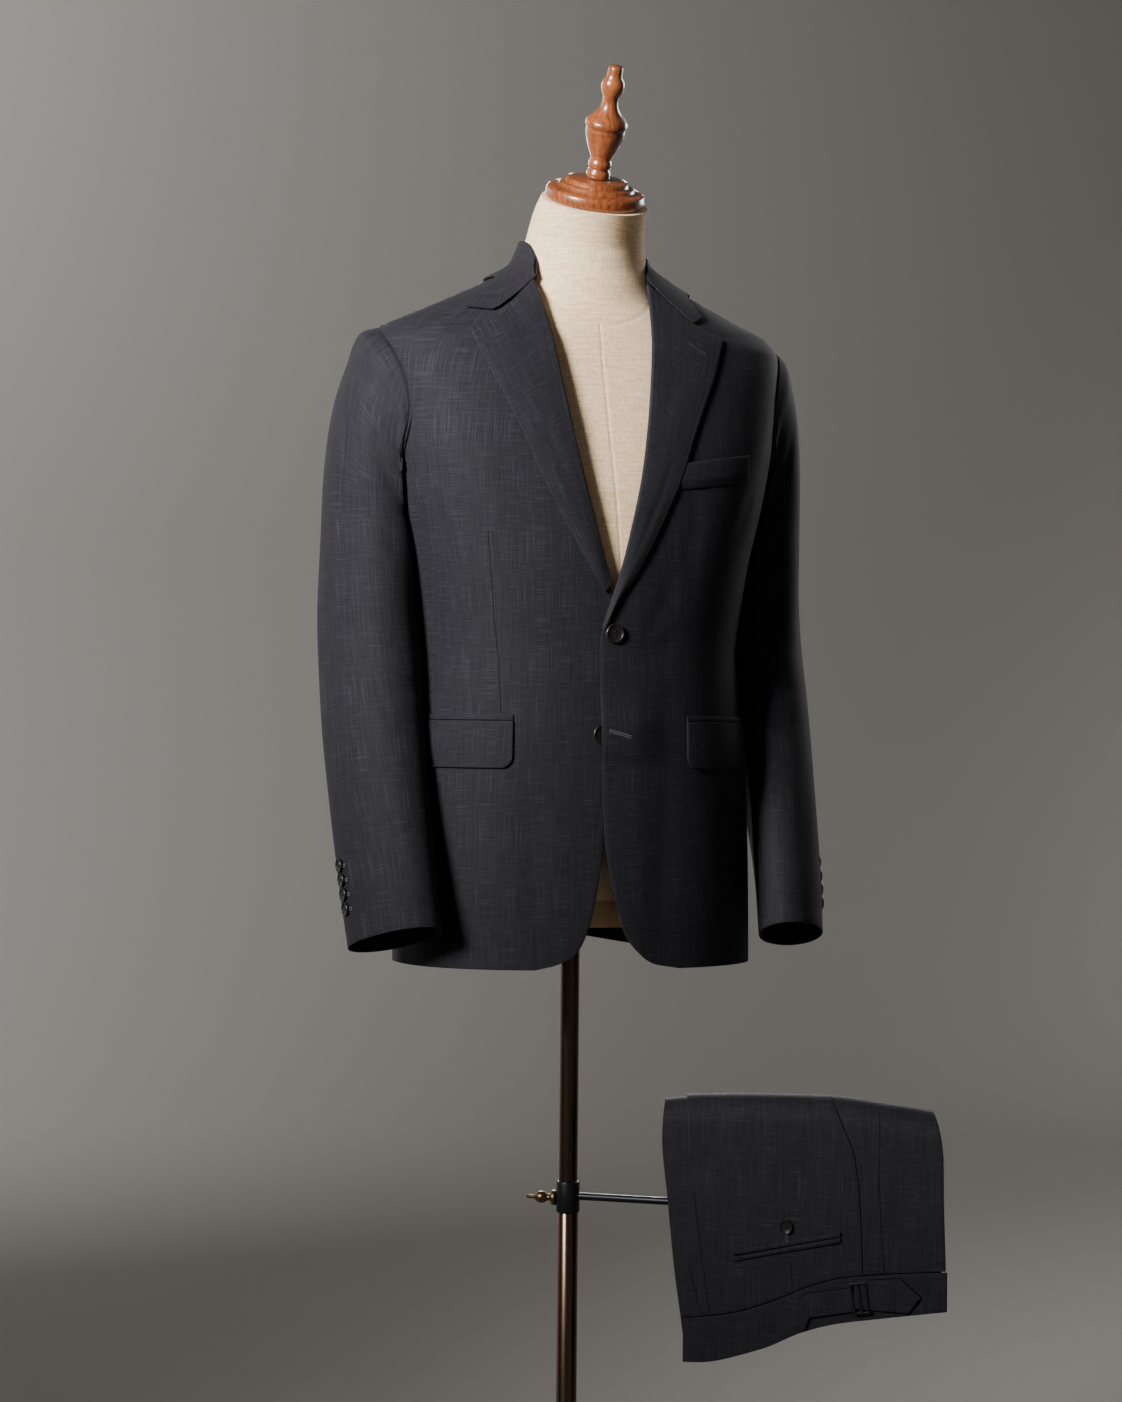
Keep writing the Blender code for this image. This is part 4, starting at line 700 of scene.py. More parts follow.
def seam_meets_armhole(back):
    """Height where the side seam runs into the lower half of the armhole."""
    seam = BACK_SEAM if back else FRONT_SEAM
    low = ARMHOLE_HEIGHT - ARMHOLE_HALF_HEIGHT
    high = ARMHOLE_HEIGHT
    for _ in range(40):
        height = (low + high) / 2
        turn = jacket.turn_at_y(armhole_y(height, back), height)
        inside = turn < seam if back else turn > seam
        low, high = (height, high) if inside else (low, height)
    return (low + high) / 2


MEET_FRONT = seam_meets_armhole(False)
MEET_BACK = seam_meets_armhole(True)


def outer_turn(height, back):
    """Where a front or back panel ends: side seam, then armhole, then shoulder seam."""
    meet = MEET_BACK if back else MEET_FRONT
    if height < meet:
        turn = BACK_SEAM if back else FRONT_SEAM
    elif height < ARMHOLE_TOP:
        turn = jacket.turn_at_y(armhole_y(height, back), height)
    else:
        turn = SHOULDER_SEAM
    gap = SEAM / 2 / jacket.half_width(height)
    return turn + gap if back else turn - gap


def own_side(out, side):
    """x of a point that lies this far from the centre line towards the panel's own side."""
    return CENTRE_X + side * out


def front_inner(height, side):
    """Distance from the centre line to the front panel's inner boundary."""
    if height < BREAK:
        return edge_left(height) if side > 0 else edge_right(height)
    tuck = mix(LAPEL_TUCK, LAPEL_TUCK_TOP, ease((height - LAPEL_TUCK_FROM) / 0.06))
    return roll_at(height) + tuck * ease((height - BREAK) / 0.03)


def overlap_lift(x, height, side):
    """The left front rides over the right one near the closing."""
    if side < 0:
        return 0.0
    near = 1 - ease((x - CENTRE_X - OVERLAP_WIDE) / OVERLAP_REACH)
    over_button = math.exp(-(((height - LOW_BUTTON[1]) / BUTTON_BULGE_TALL) ** 4))
    lift = OVERLAP_LIFT * (1 - ease((height - 1.22) / 0.10)) + BUTTON_BULGE * over_button
    return lift * near


def front_surface(side):
    """One front, from its edge and the roll line to the side seam."""
    row = heights(FRONT_ROWS)

    def surface(s, t):
        height = row(t)
        inner = jacket.turn_at_x(own_side(front_inner(height, side), side), height) * side
        turn = mix(inner, outer_turn(height, False), s ** 0.9) * side
        point = jacket.around(turn, height)
        lift = overlap_lift(point.x, height, side)
        return point + Vector((math.sin(turn), -math.cos(turn), 0.0)) * lift

    return surface


def on_front(x, height, side):
    """The finished outer face of a front, at this x and height."""
    turn = jacket.turn_at_x(x, height)
    point = jacket.around(turn, height)
    lift = overlap_lift(x, height, side)
    return point + Vector((math.sin(turn), -math.cos(turn), 0.0)) * lift


# %% Fronts
GIRTH = 0.19        # radius of the chart that wraps the body, in metres


def body_chart(side, surface):
    """Cloth coordinates on the body: around it, and up."""

    def chart(s, t):
        point = surface(s, t)
        turn = math.atan2(point.x, jacket.middle(point.z) - point.y)
        return turn * GIRTH, point.z

    return chart


def on_chart(x, z):
    return jacket.turn_at_x(x, z) * GIRTH, z


# Each dart shows as a thin line of painted shade in its own front's worsted.
DARTS = {
    1: ((0.1090, 1.1900), (0.0985, 1.1250), (0.0885, 1.0560)),
    -1: ((-0.1350, 1.2400), (-0.1259, 1.1500), (-0.1193, 1.0560)),
}
FRONT_CREASES = {
    1: creases(
        (0.050, 1.118, 24, 0.045, 0.010, 0.0010),
        (0.052, 1.160, 58, 0.050, 0.012, 0.0009),
        (0.100, 1.245, 84, 0.060, 0.014, 0.0010),
        (0.190, 1.285, 62, 0.040, 0.010, 0.0014),
        (0.215, 1.310, 74, 0.036, 0.008, 0.0013),
        (0.170, 0.930, 88, 0.080, 0.020, 0.0016),
        (0.060, 0.900, 84, 0.070, 0.016, 0.0011),
        (0.120, 1.400, 66, 0.030, 0.012, 0.0007),
        (0.228, 1.120, 12, 0.030, 0.012, 0.0011),
    ),
    -1: creases(
        (-0.060, 1.112, -22, 0.045, 0.011, 0.0010),
        (-0.075, 1.158, -52, 0.050, 0.013, 0.0009),
        (-0.130, 1.262, -80, 0.055, 0.015, 0.0010),
        (-0.205, 1.300, -64, 0.044, 0.011, 0.0016),
        (-0.222, 1.275, -76, 0.038, 0.008, 0.0012),
        (-0.110, 0.900, -86, 0.080, 0.022, 0.0016),
        (-0.185, 0.925, 89, 0.075, 0.016, 0.0012),
        (-0.140, 1.395, -64, 0.030, 0.013, 0.0008),
        (-0.232, 1.110, -14, 0.030, 0.012, 0.0011),
    ),
}
for side, word in ((1, "left"), (-1, "right")):
    surface = front_surface(side)
    dart = [on_chart(*point) for point in DARTS[side]]
    cloth = worsted(f"worsted_front_{word}", list(zip(dart, dart[1:])))
    shell(f"front_{word}_cloth", surface, 64, 130, (f"front_{word}",), side,
          pressed=FRONT_CREASES[side], chart=body_chart(side, surface), look=cloth)

# %% [markdown]
# ## Side bodies and backs
# A narrow side piece joins front and back under the arm, and two back pieces meet at a plain
# seam. They are hidden in the picture, so they get the plain finish of the same cut, with
# soft upright folds at the waist and under the shoulder blades, as such jackets have. They are
# made on the same sections as the fronts, so that their edges meet with no fitting.


# %% Sides and backs
def side_surface(side):
    """The piece under the arm, whose top follows the armhole's curve."""
    row = heights(SIDE_ROWS)

    def surface(s, t):
        height = row(t)
        gap = SEAM / 2 / jacket.half_width(height)
        turn = mix(FRONT_SEAM + gap, BACK_SEAM - gap, s)
        y = jacket.around(turn, 1.31).y - ARMHOLE_Y
        half = ARMHOLE_FRONT if y < 0 else ARMHOLE_BACK
        level = math.sqrt(max(0.0, 1 - (y / half) ** 2))
        top = ARMHOLE_HEIGHT - ARMHOLE_HALF_HEIGHT * level
        height = HEM + (height - HEM) * (top - HEM) / (SIDE_ROWS[-1] - HEM)
        return jacket.around(turn * side, height)

    return surface


BACK_HEM_RISE = 0.022        # the back's hem rises towards the centre seam


def back_surface(side):
    """One half of the back, from the centre seam to the side seam."""
    row = heights(BACK_ROWS)

    def surface(s, t):
        height = row(t)
        height += BACK_HEM_RISE * ease(1 - s) * (1 - ease((height - HEM) / 0.12))
        gap = SEAM / 2 / jacket.back(height)
        turn = mix(math.pi - gap, outer_turn(height, True), s ** 0.95)
        return jacket.around(turn * side, height)

    return surface


SIDE_CREASES = creases(
    (0.285, 1.080, 8, 0.030, 0.011, 0.0012),
    (0.300, 1.230, 80, 0.040, 0.010, 0.0010),
)
BACK_CREASES = creases(
    (0.440, 1.120, 12, 0.050, 0.012, 0.0013),
    (0.400, 1.165, -16, 0.045, 0.011, 0.0010),
    (0.470, 1.240, 82, 0.070, 0.018, 0.0012),
    (0.395, 1.310, 68, 0.050, 0.012, 0.0015),
    (0.370, 1.265, 76, 0.040, 0.009, 0.0011),
    (0.500, 0.900, 87, 0.080, 0.020, 0.0014),
    (0.415, 0.915, 84, 0.075, 0.017, 0.0012),
    (0.540, 1.440, 20, 0.040, 0.012, 0.0009),
)


def mirrored(rows):
    """The same creases on the other side, a little higher and shallower."""
    return [c._replace(u=-c.u, turn=-c.turn, deep=c.deep * 0.9, v=c.v + 0.008) for c in rows]


for side, word in ((1, "left"), (-1, "right")):
    surface = side_surface(side)
    shell(f"side_{word}_cloth", surface, 22, 90, (f"side_{word}",), side,
          pressed=SIDE_CREASES if side > 0 else mirrored(SIDE_CREASES),
          chart=body_chart(side, surface))
    surface = back_surface(side)
    shell(f"back_{word}_cloth", surface, 56, 130, (f"back_{word}",), -side,
          pressed=BACK_CREASES if side > 0 else mirrored(BACK_CREASES),
          chart=body_chart(side, surface))

# %% [markdown]
# ## Sleeves
# A sleeve is two pieces, a wide top one and a narrow under one, bent forward at the elbow. Its
# head is eased into the armhole, so it stands a little over the seam. Soft folds gather inside
# the elbow and where the head turns down in front. A sleeve could be lofted between circles;
# here each ring has its own place, turn and width, because a hanging arm bends and flattens.

# %% Lines of the sleeve
Ring = namedtuple("Ring", "drop height x y along across turn tip")
SLEEVE = (
    Ring(0.00, 1.260, 0.2150, 0.0250, 0.0655, 0.0520, 8.0, 0.00),
    Ring(0.24, 1.155, 0.2220, 0.0190, 0.0640, 0.0460, 20.0, 0.05),
    Ring(0.46, 1.060, 0.2230, -0.0040, 0.0620, 0.0450, 27.0, 0.15),
    Ring(0.69, 0.960, 0.2235, -0.0370, 0.0590, 0.0400, 31.0, 0.25),
    Ring(0.87, 0.880, 0.2225, -0.0650, 0.0560, 0.0350, 35.0, 0.30),
    Ring(1.00, 0.824, 0.2195, -0.0820, 0.0550, 0.0330, 35.4, 0.33),
)
SLEEVE_HEAD_X = 0.262       # how far the sleeve head reaches before it turns down
SLEEVE_CLEAR = 0.0030       # least gap between the sleeve and the body of the jacket
SLEEVE_SOFT = 0.0040        # how softly it bears on that gap
SLEEVE_SPLIT = 0.30         # share of the rows that make the head
SLEEVE_FRONT_SEAM = 118.0   # degrees around the sleeve, 0 outside, 90 in front
SLEEVE_BACK_SEAM = 256.0
CUFF_BUTTONS = (0.898, 0.8835, 0.869, 0.8545)
CUFF_BUTTON_TURN = 320.0
ARMHOLE_FRONT_OUT = 0.0006  # and this much further out in front
ARMPIT_OUT = 0.0042         # and this far out under the arm
SLEEVE_CUFF_SEAM = 300.0    # the back seam runs round to here at the cuff, beside the buttons
sleeve_height, sleeve_x, sleeve_y, sleeve_along, sleeve_across, sleeve_turn, sleeve_tip = (
    columns(SLEEVE)
)
ARMHOLE_GAP = 0.0003        # the cloth itself closes up to the armhole's edge
HEAD_FULLER = {-1: 0.0050, 1: 0.0020}       # the worn shoulder's corner is this much squarer
HEAD_AT, HEAD_SPREAD = 0.045, 0.035         # where along the sleeve, and over what share
HEAD_UPWARD = 0.6           # its rise for each unit outward
TUCK = 0.012                # share of the sleeve that is turned in as its seam allowance
TUCK_DEEP, TUCK_UNDER = 0.0040, 0.0045      # how deep it goes in, and out under the panel


# %% Sleeve surface
def armhole_point(turn):
    """Where the sleeve starts, just inside the armhole's edge, on the wearer's left: 0 at the
    shoulder, 90 degrees in front, 180 under the arm."""
    reach = math.sin(turn)
    under = max(0.0, -math.cos(turn))
    y = ARMHOLE_Y - reach * ((ARMHOLE_FRONT if reach > 0 else ARMHOLE_BACK) - ARMHOLE_GAP)
    height = ARMHOLE_HEIGHT + (ARMHOLE_HALF_HEIGHT - ARMHOLE_GAP) * math.cos(turn)
    out = mix(ARMHOLE_GAP + ARMHOLE_FRONT_OUT * reach ** 2, ARMPIT_OUT, under)
    return Vector((jacket.side_x(y, height) + out, y, height))


def clear_of_body(point, gap):
    """Pushes a sleeve point softly outward, so that it hangs beside the body."""
    limit = jacket.side_x(point.y, point.z) + gap
    past = (point.x - limit) / SLEEVE_SOFT
    point.x = limit + SLEEVE_SOFT * (past if past > 30 else math.log1p(math.exp(past)))
    return point


def sleeve_ring(turn, drop):
    facing = math.radians(sleeve_turn(drop))
    out = Vector((math.cos(facing), -math.sin(facing), 0.0))
    front = Vector((-math.sin(facing), -math.cos(facing), 0.0))
    reach = (out * sleeve_across(drop) * math.cos(turn)
             + front * sleeve_along(drop) * math.sin(turn))
    reach.z = -sleeve_tip(drop) * reach.y
    return Vector((sleeve_x(drop), sleeve_y(drop), sleeve_height(drop))) + reach


def sleeve_point(turn, t):
    """Outer face of the wearer's left sleeve, from the armhole (0) to the cuff (1)."""
    if t >= SLEEVE_SPLIT:
        drop = (t - SLEEVE_SPLIT) / (1 - SLEEVE_SPLIT)
        return clear_of_body(sleeve_ring(turn, drop), SLEEVE_CLEAR)
    u = t / SLEEVE_SPLIT
    top = max(0.0, math.cos(turn))
    start = armhole_point(turn)
    end = clear_of_body(sleeve_ring(turn, 0.0), SLEEVE_CLEAR)
    knee = mix(start, end, mix(0.50, 0.92, top))
    knee.x = mix(knee.x, SLEEVE_HEAD_X, top)
    knee.z = start.z - mix(0.45 * (start.z - end.z), 0.018, top)
    point = start * (1 - u) ** 2 + knee * 2 * u * (1 - u) + end * u * u
    limit = jacket.side_x(point.y, point.z) + SLEEVE_CLEAR + SLEEVE_SOFT * math.log(2)
    short = max(0.0, limit - point.x)
    point.x += short * max(ease(u / 0.35), ease(-math.cos(turn) * 2))
    return point


def sleeve_seams(top):
    """Where the top or under piece starts and ends around the sleeve, in degrees, at a share of
    its length."""

    def front(t):
        return SLEEVE_FRONT_SEAM    # the same all the way down

    def back(t):
        return mix(SLEEVE_BACK_SEAM, SLEEVE_CUFF_SEAM, ease((t - 0.35) / 0.55))

    return (lambda t: back(t) - 360, front) if top else (front, back)


SLEEVE_ROUND = 0.05     # radius of the sleeve's chart
SLEEVE_LONG = 0.64      # length of the sleeve's chart
SLEEVE_CREASES = creases(
    (0.062, 0.120, 70, 0.030, 0.007, 0.0016),
    (0.080, 0.160, 58, 0.034, 0.008, 0.0018),
    (0.055, 0.330, 6, 0.026, 0.010, 0.0015),
    (0.070, 0.375, -10, 0.030, 0.009, 0.0018),
    (0.060, 0.425, 8, 0.024, 0.010, 0.0013),
    (0.010, 0.270, 84, 0.070, 0.013, 0.0013),
    (-0.030, 0.400, 80, 0.080, 0.012, 0.0014),
    (0.030, 0.520, 86, 0.060, 0.012, 0.0013),
    (-0.060, 0.230, 78, 0.060, 0.011, 0.0013),
    (0.125, 0.300, 14, 0.025, 0.009, 0.0012),
    (0.130, 0.200, 66, 0.040, 0.009, 0.0014),
    (0.185, 0.440, 82, 0.060, 0.010, 0.0012),
)


SLEEVE_ROWS = [0.0, 0.003, 0.006, 0.009, TUCK, 0.0125, *np.linspace(0.02, 1, 118)]


def sleeve_surface(first, last, side):
    """A sleeve piece between two seams. Its first rows are turned in under the panels."""

    def surface(s, t):
        gap = 0.0005 / SLEEVE_ROUND
        turn = mix(math.radians(first(t)) + gap, math.radians(last(t)) - gap, s)
        point = sleeve_point(turn, t if t > TUCK else TUCK * 0.25)
        if t <= TUCK:
            inward = 1 - t / TUCK
            outward = Vector((0.0, -math.sin(turn), math.cos(turn)))
            under = 1 - ease(-math.cos(turn))
            point += outward * TUCK_UNDER * ease(inward * 1.6 - 0.6) * under
            point.x -= TUCK_DEEP * ease(inward * 1.6)
        full = HEAD_FULLER[side] * math.exp(-((t - HEAD_AT) / HEAD_SPREAD) ** 2)
        full *= max(0.0, math.cos(turn)) ** 2 * ease(t / TUCK)
        point += Vector((full, 0.0, full * HEAD_UPWARD))
        return Vector((point.x * side, point.y, point.z))

    return surface


def sleeve_chart(first, last):
    def chart(s, t):
        return math.radians(mix(first(t), last(t), s)) * SLEEVE_ROUND, t * SLEEVE_LONG

    return chart


for side, word in ((1, "left"), (-1, "right")):
    for name, (first, last), count in (("top_sleeve", sleeve_seams(True), 56),
                                       ("under_sleeve", sleeve_seams(False), 34)):
        pressed = SLEEVE_CREASES if side > 0 else [
            c._replace(v=c.v + 0.012, deep=c.deep * 0.85) for c in SLEEVE_CREASES]
        shell(f"{name}_{word}_cloth", sleeve_surface(first, last, side), count, SLEEVE_ROWS,
              (f"{name}_{word}",), side, pressed=pressed, chart=sleeve_chart(first, last),
              relief=lambda s, t: 0.0012 * math.exp(-((t - 0.050) / 0.03) ** 2))

# %% [markdown]
# ## Lapels and collar
# The lapel is the front turned back along the roll line, so its inner edge is a soft round
# roll, not a cut. The collar is cut apart: its leaf lies on the shoulders and its stand goes
# up inside it, round the neck, and the two meet in a fold. The step between them is the notch.


# %% Lapels
def lapel_surface(side):
    first = 0.0 if side > 0 else LAPEL_RIGHT_FROM

    def surface(s, t):
        gap = 0.0004 * (1 - t)
        t = mix(first, 1.0, t)
        out = mix(roll_out(t), lapel_out(t), s)
        height = mix(roll_height(t), lapel_height(t), s)
        bend = 1 - abs(s - 0.55) / (0.55 if s < 0.55 else 0.45)
        height -= LAPEL_LINE_DIP * bend * t ** 6
        return on_front(own_side(out + gap, side), height, side)

    return surface


LAPEL_ROLL = 0.10       # share of the lapel's width that turns around the roll
LAPEL_BELLY = 0.0022    # how far its middle stands off the front


def rolled_lapel(side):
    """The lapel with a round roll at its inner edge and a soft belly."""
    flat = lapel_surface(side)
    rise = LAPEL_LIFT + LAPEL_THICK
    half = (CLOTH + rise) / 2

    def surface(s, t):
        t = mix(0.012, 1.0, t)
        normal = normal_of(flat, 0.0, t) * side
        if s < LAPEL_ROLL:
            edge = flat(0.0, t)
            inward = (edge - flat(0.04, t)).normalized()
            angle = math.pi * (1 - s / LAPEL_ROLL)
            return (edge + normal * (rise - half + half * math.cos(angle))
                    + inward * half * math.sin(angle))
        s = (s - LAPEL_ROLL) / (1 - LAPEL_ROLL)
        belly = LAPEL_BELLY * math.sin(math.pi * s) * (1 - t) ** 0.7 * ease(t / 0.15)
        return flat(s, t) + normal_of(flat, s, t) * side * (rise + belly)

    return surface


LAPEL_CREASES = creases(
    (0.045, 0.300, 80, 0.050, 0.014, 0.0007),
    (0.060, 0.180, 76, 0.050, 0.013, 0.0008),
)
for side, word in ((1, "left"), (-1, "right")):
    shell(f"lapel_{word}_cloth", rolled_lapel(side),
          dense(0, LAPEL_ROLL, 8) + dense(LAPEL_ROLL + 0.02, 1, 30), 90, (f"lapel_{word}",), side,
          thick=0.0011, pressed=LAPEL_CREASES, rim=0.0004)

# %% Lines of the collar
CollarLine = namedtuple("CollarLine", "share fold_turn fold edge_turn edge seam")
COLLAR = (
    CollarLine(0.00, 45.0, 1.5075, 60.0, 1.4715, 1.5050),
    CollarLine(0.08, 55.0, 1.5270, 64.0, 1.4935, 1.5155),
    CollarLine(0.20, 74.0, 1.5450, 77.5, 1.5100, 1.5155),
    CollarLine(0.32, 95.0, 1.5510, 96.0, 1.5105, 1.5155),
    CollarLine(0.50, 130.0, 1.5545, 130.0, 1.5085, 1.5155),
    CollarLine(1.00, 180.0, 1.5560, 180.0, 1.5065, 1.5155),
)
COLLAR_LEAF_OUT = 0.0027    # middle of the leaf over the panels
COLLAR_STAND_OUT = -0.0009  # middle of the stand inside it
COLLAR_THICK = 0.0018
COLLAR_LEFT_LOWER = 0.0110  # the collar sits this much lower on the wearer's left shoulder
NECK_RADIUS = 0.095
(collar_fold_turn, collar_fold, collar_edge_turn, collar_edge, collar_seam) = columns(COLLAR)
COLLAR_ARC = 0.16           # share of the profile that turns over the fold
COLLAR_LEAF = 0.46
COLLAR_END_AT = {-1: 0.62, 1: 0.50}     # where the notch's inner corner lies along each end
COLLAR_END_DIP = 0.0255                 # and how far it dips to meet the lapel
COLLAR_END_LIFT = 0.0004
COLLAR_HUG = 0.0055                     # the collar draws in this much beside the neck


# %% Collar
def collar_face(s, t):
    """Middle of the collar's cloth: s from the right end around to the left, t from the leaf's
    edge over the fold to the neck seam."""
    share = (1 - abs(2 * s - 1)) ** 1.35
    side = -1 if s < 0.5 else 1
    end = 1 - ease(share / 0.12)
    fold_turn = math.radians(collar_fold_turn(share))
    edge_turn = math.radians(collar_edge_turn(share))
    lower = COLLAR_LEFT_LOWER * math.sin(math.pi * min(1.0, share * 1.5)) if side > 0 else 0.0
    fold = collar_fold(share) - lower
    radius = (COLLAR_LEAF_OUT - COLLAR_STAND_OUT) / 2
    centre = (COLLAR_LEAF_OUT + COLLAR_STAND_OUT) / 2
    shift = CENTRE_X / NECK_RADIUS * (1 - ease(share / 0.35))
    shift *= mix(1.0, 0.8, ease(t / COLLAR_LEAF))
    if t < COLLAR_LEAF:
        u = t / COLLAR_LEAF
        turn, out = mix(edge_turn, fold_turn, u), radius
        height = mix(collar_edge(share) - lower, fold, u)
        at = COLLAR_END_AT[side]
        bend = 1 - abs(u - at) / (at if u < at else 1 - at)
        height -= COLLAR_END_DIP * bend * end
        out += COLLAR_END_LIFT * end * (1 - u)
    elif t < COLLAR_LEAF + COLLAR_ARC:
        angle = (t - COLLAR_LEAF) / COLLAR_ARC * math.pi
        turn, height, out = fold_turn, fold + radius * math.sin(angle), radius * math.cos(angle)
    else:
        u = (t - COLLAR_LEAF - COLLAR_ARC) / (1 - COLLAR_LEAF - COLLAR_ARC)
        turn, height, out = fold_turn, mix(fold, collar_seam(share), u), -radius
    turn = turn * side + shift
    point = jacket.around(turn, height)
    beyond = jacket.around(turn + 0.01, height) - jacket.around(turn - 0.01, height)
    rise = point - jacket.around(turn, height - 0.002)
    point += beyond.cross(rise).normalized() * (centre + out)
    beside = math.sin(math.pi * min(1.0, share / 0.55)) ** 0.7
    point.x -= side * COLLAR_HUG * beside * ease((height - 1.508) / 0.024)
    return point


fold_marks = (COLLAR_LEAF, COLLAR_LEAF + COLLAR_ARC / 2, COLLAR_LEAF + COLLAR_ARC)
shell("collar_cloth", collar_face, 150, dense(0, 1, 30, fold_marks, 0.03), ("collar",),
      thick=0.0016, relief=lambda s, t: COLLAR_THICK / 2)

# %% [markdown]
# ## Pockets of the jacket
# Each hip pocket has a flap, cut with a rounded front corner, under one narrow jet. The breast
# pocket has a slanted welt. Strips could be shrink-wrapped on the front. Here each is the
# front's own surface moved out by a cloth's thickness, with a soft belly where it isn't sewn.

# %% Lines of the pockets
FLAP_INNER = 0.092
POCKET_CENTRE_X = -0.0165   # the hip pockets sit this far to the right of the stand's axis
FLAP_LENGTH = 0.150
FLAP_TOP = 1.0475
FLAP_DEPTH = 0.0480
FLAP_CORNER = 0.0120
FLAP_THICK = 0.0022
JET_HEIGHT = 0.0055
JET_THICK = 0.0012
WELT_GAP = 0.0012           # between the lapel's edge and the welt
WELT_OUTER_X = 0.152
WELT_INNER_TOP = 1.3150
WELT_OUTER_TOP = 1.3277
WELT_DEPTH = 0.0290
WELT_THICK = 0.0020


# %% Flaps, jets and welt
def flap_surface(side, top, depth, corner):
    """A strip of the front's face below top, from the flap's front end around the side."""
    start = jacket.turn_at_x(abs(POCKET_CENTRE_X + side * FLAP_INNER), top)
    steps = 60
    length = 0.0
    stop = start
    before = jacket.around(start, top)
    while length < FLAP_LENGTH and steps:
        stop += 0.02
        after = jacket.around(stop, top)
        length += (after - before).length
        before = after
        steps -= 1

    def surface(s, t):
        s = s ** 1.5
        turn = mix(start, stop, s)
        lower = top - depth
        if corner:
            near = max(0.0, 1 - s * FLAP_LENGTH / corner)
            lower += corner * (1 - math.sqrt(max(0.0, 1 - near * near)))
        height = mix(lower, top, t)
        return jacket.around(turn * side, height)

    return surface


def welt_surface(s, t):
    top = mix(WELT_INNER_TOP, WELT_OUTER_TOP, s)
    height = mix(top - WELT_DEPTH, top, t)
    x = mix(own_side(lapel_edge_at(height), 1) + WELT_GAP, WELT_OUTER_X, s)
    return on_front(x, height, 1)


def laid_on(surface, side, thick, belly=0.0, sewn_low=0.0):
    """The outer face of a layer on this surface, fuller in its middle and sunk where sewn."""

    def outer(s, t):
        full = belly * math.sin(math.pi * s) * math.sin(math.pi * min(1.0, t * 1.1) * 0.9)
        full -= sewn_low * (1 - ease(t / 0.35))
        return moved(surface, s, t, ON_PANEL + thick + full, side)

    return outer


flap_faces = {}
for side, word in ((1, "left"), (-1, "right")):
    flap = laid_on(flap_surface(side, FLAP_TOP, FLAP_DEPTH, FLAP_CORNER), side, FLAP_THICK, 0.0007)
    jet = laid_on(flap_surface(side, FLAP_TOP + SEAM + JET_HEIGHT, JET_HEIGHT, 0.0), side,
                  JET_THICK, 0.0004)
    flap_faces[side] = flap
    shell(f"flap_{word}_cloth", flap, 64, 20, (f"flap_{word}",), side, thick=0.0021,
          rim=0.0007)
    shell(f"jet_{word}_cloth", jet, 60, 6, (f"jet_{word}",), side, thick=0.0012,
          rim=0.0004)
welt = laid_on(welt_surface, 1, WELT_THICK, 0.0, 0.0017)
shell("breast_welt_cloth", welt, 34, 12, ("breast_welt",), thick=0.0018,
      rim=0.0006)

# %% [markdown]
# ## Buttons
# Horn buttons are turned on a lathe: a dished middle, a raised rim and four drilled holes. A
# profile is spun around its axis and the holes are cut out with a Boolean, which is applied so
# that the finished mesh is plain. Two bars of thread lie between the holes.

# %% Turned pieces
def turned(name, profile, look, body, replaces=(), place=None, steps=48, soften=0):
    """A profile of (radius, height) pairs spun around Z, then put in its place."""
    bm = bmesh.new()
    points = [bm.verts.new((radius, 0.0, height)) for radius, height in profile]
    lines = [bm.edges.new(pair) for pair in zip(points, points[1:])]
    if profile[0][0] > 0:
        lines.append(bm.edges.new((points[-1], points[0])))
    bmesh.ops.spin(bm, geom=points + lines, cent=(0, 0, 0), axis=(0, 0, 1), angle=math.tau,
                   steps=steps, use_merge=True)
    bmesh.ops.remove_doubles(bm, verts=bm.verts[:], dist=1e-6)
    bmesh.ops.recalc_face_normals(bm, faces=bm.faces[:])
    bmesh.ops.transform(bm, matrix=place or Matrix(), verts=bm.verts[:])
    made = finished(name, bm, look, body, replaces)
    if soften:
        smooth = made.modifiers.new("turning", "SUBSURF")
        smooth.levels = soften
        smooth.render_levels = soften
    return made


def keep_sharp(made, angle):
    made.data.set_sharp_from_angle(angle=math.radians(angle))
    return made


def placed(point, facing):
    """The matrix that puts a piece turned around Z on a point, facing outwards."""
    turn = Vector((0, 0, 1)).rotation_difference(facing)
    return Matrix.Translation(point) @ turn.to_matrix().to_4x4()


# %% Places of the buttons
FRONT_BUTTON_RADIUS = 0.0100
FRONT_BUTTON_THICK = 0.0034
CUFF_BUTTON_RADIUS = 0.0072
CUFF_BUTTON_THICK = 0.0030
BUTTON_LIFT = 0.0004
CUFF_BUTTON_LIFT = 0.0003


def front_place(out, height, side):
    x = own_side(out, side)
    across = on_front(x + 0.004, height, side) - on_front(x - 0.004, height, side)
    along = on_front(x, height + 0.004, side) - on_front(x, height - 0.004, side)
    facing = across.cross(along).normalized()
    return on_front(x, height, side) + facing * BUTTON_LIFT, facing


def cuff_place(height, side):
    """The place of a cuff button: down the sleeve to this height, beside the back seam."""
    turn = math.radians(CUFF_BUTTON_TURN)
    low, high = SLEEVE_SPLIT, 1.0
    for _ in range(40):
        t = (low + high) / 2
        low, high = (t, high) if sleeve_point(turn, t).z > height else (low, t)
    point = sleeve_point(turn, t)
    around = sleeve_point(turn + 0.05, t) - sleeve_point(turn - 0.05, t)
    down = sleeve_point(turn, min(t + 0.01, 1)) - sleeve_point(turn, t - 0.01)
    facing = down.cross(around).normalized()
    outward = point - Vector((sleeve_x(0.9), sleeve_y(0.9), point.z))
    facing *= 1 if facing.dot(outward) > 0 else -1
    point = point + facing * CUFF_BUTTON_LIFT
    return (Vector((point.x * side, point.y, point.z)),
            Vector((facing.x * side, facing.y, facing.z)))


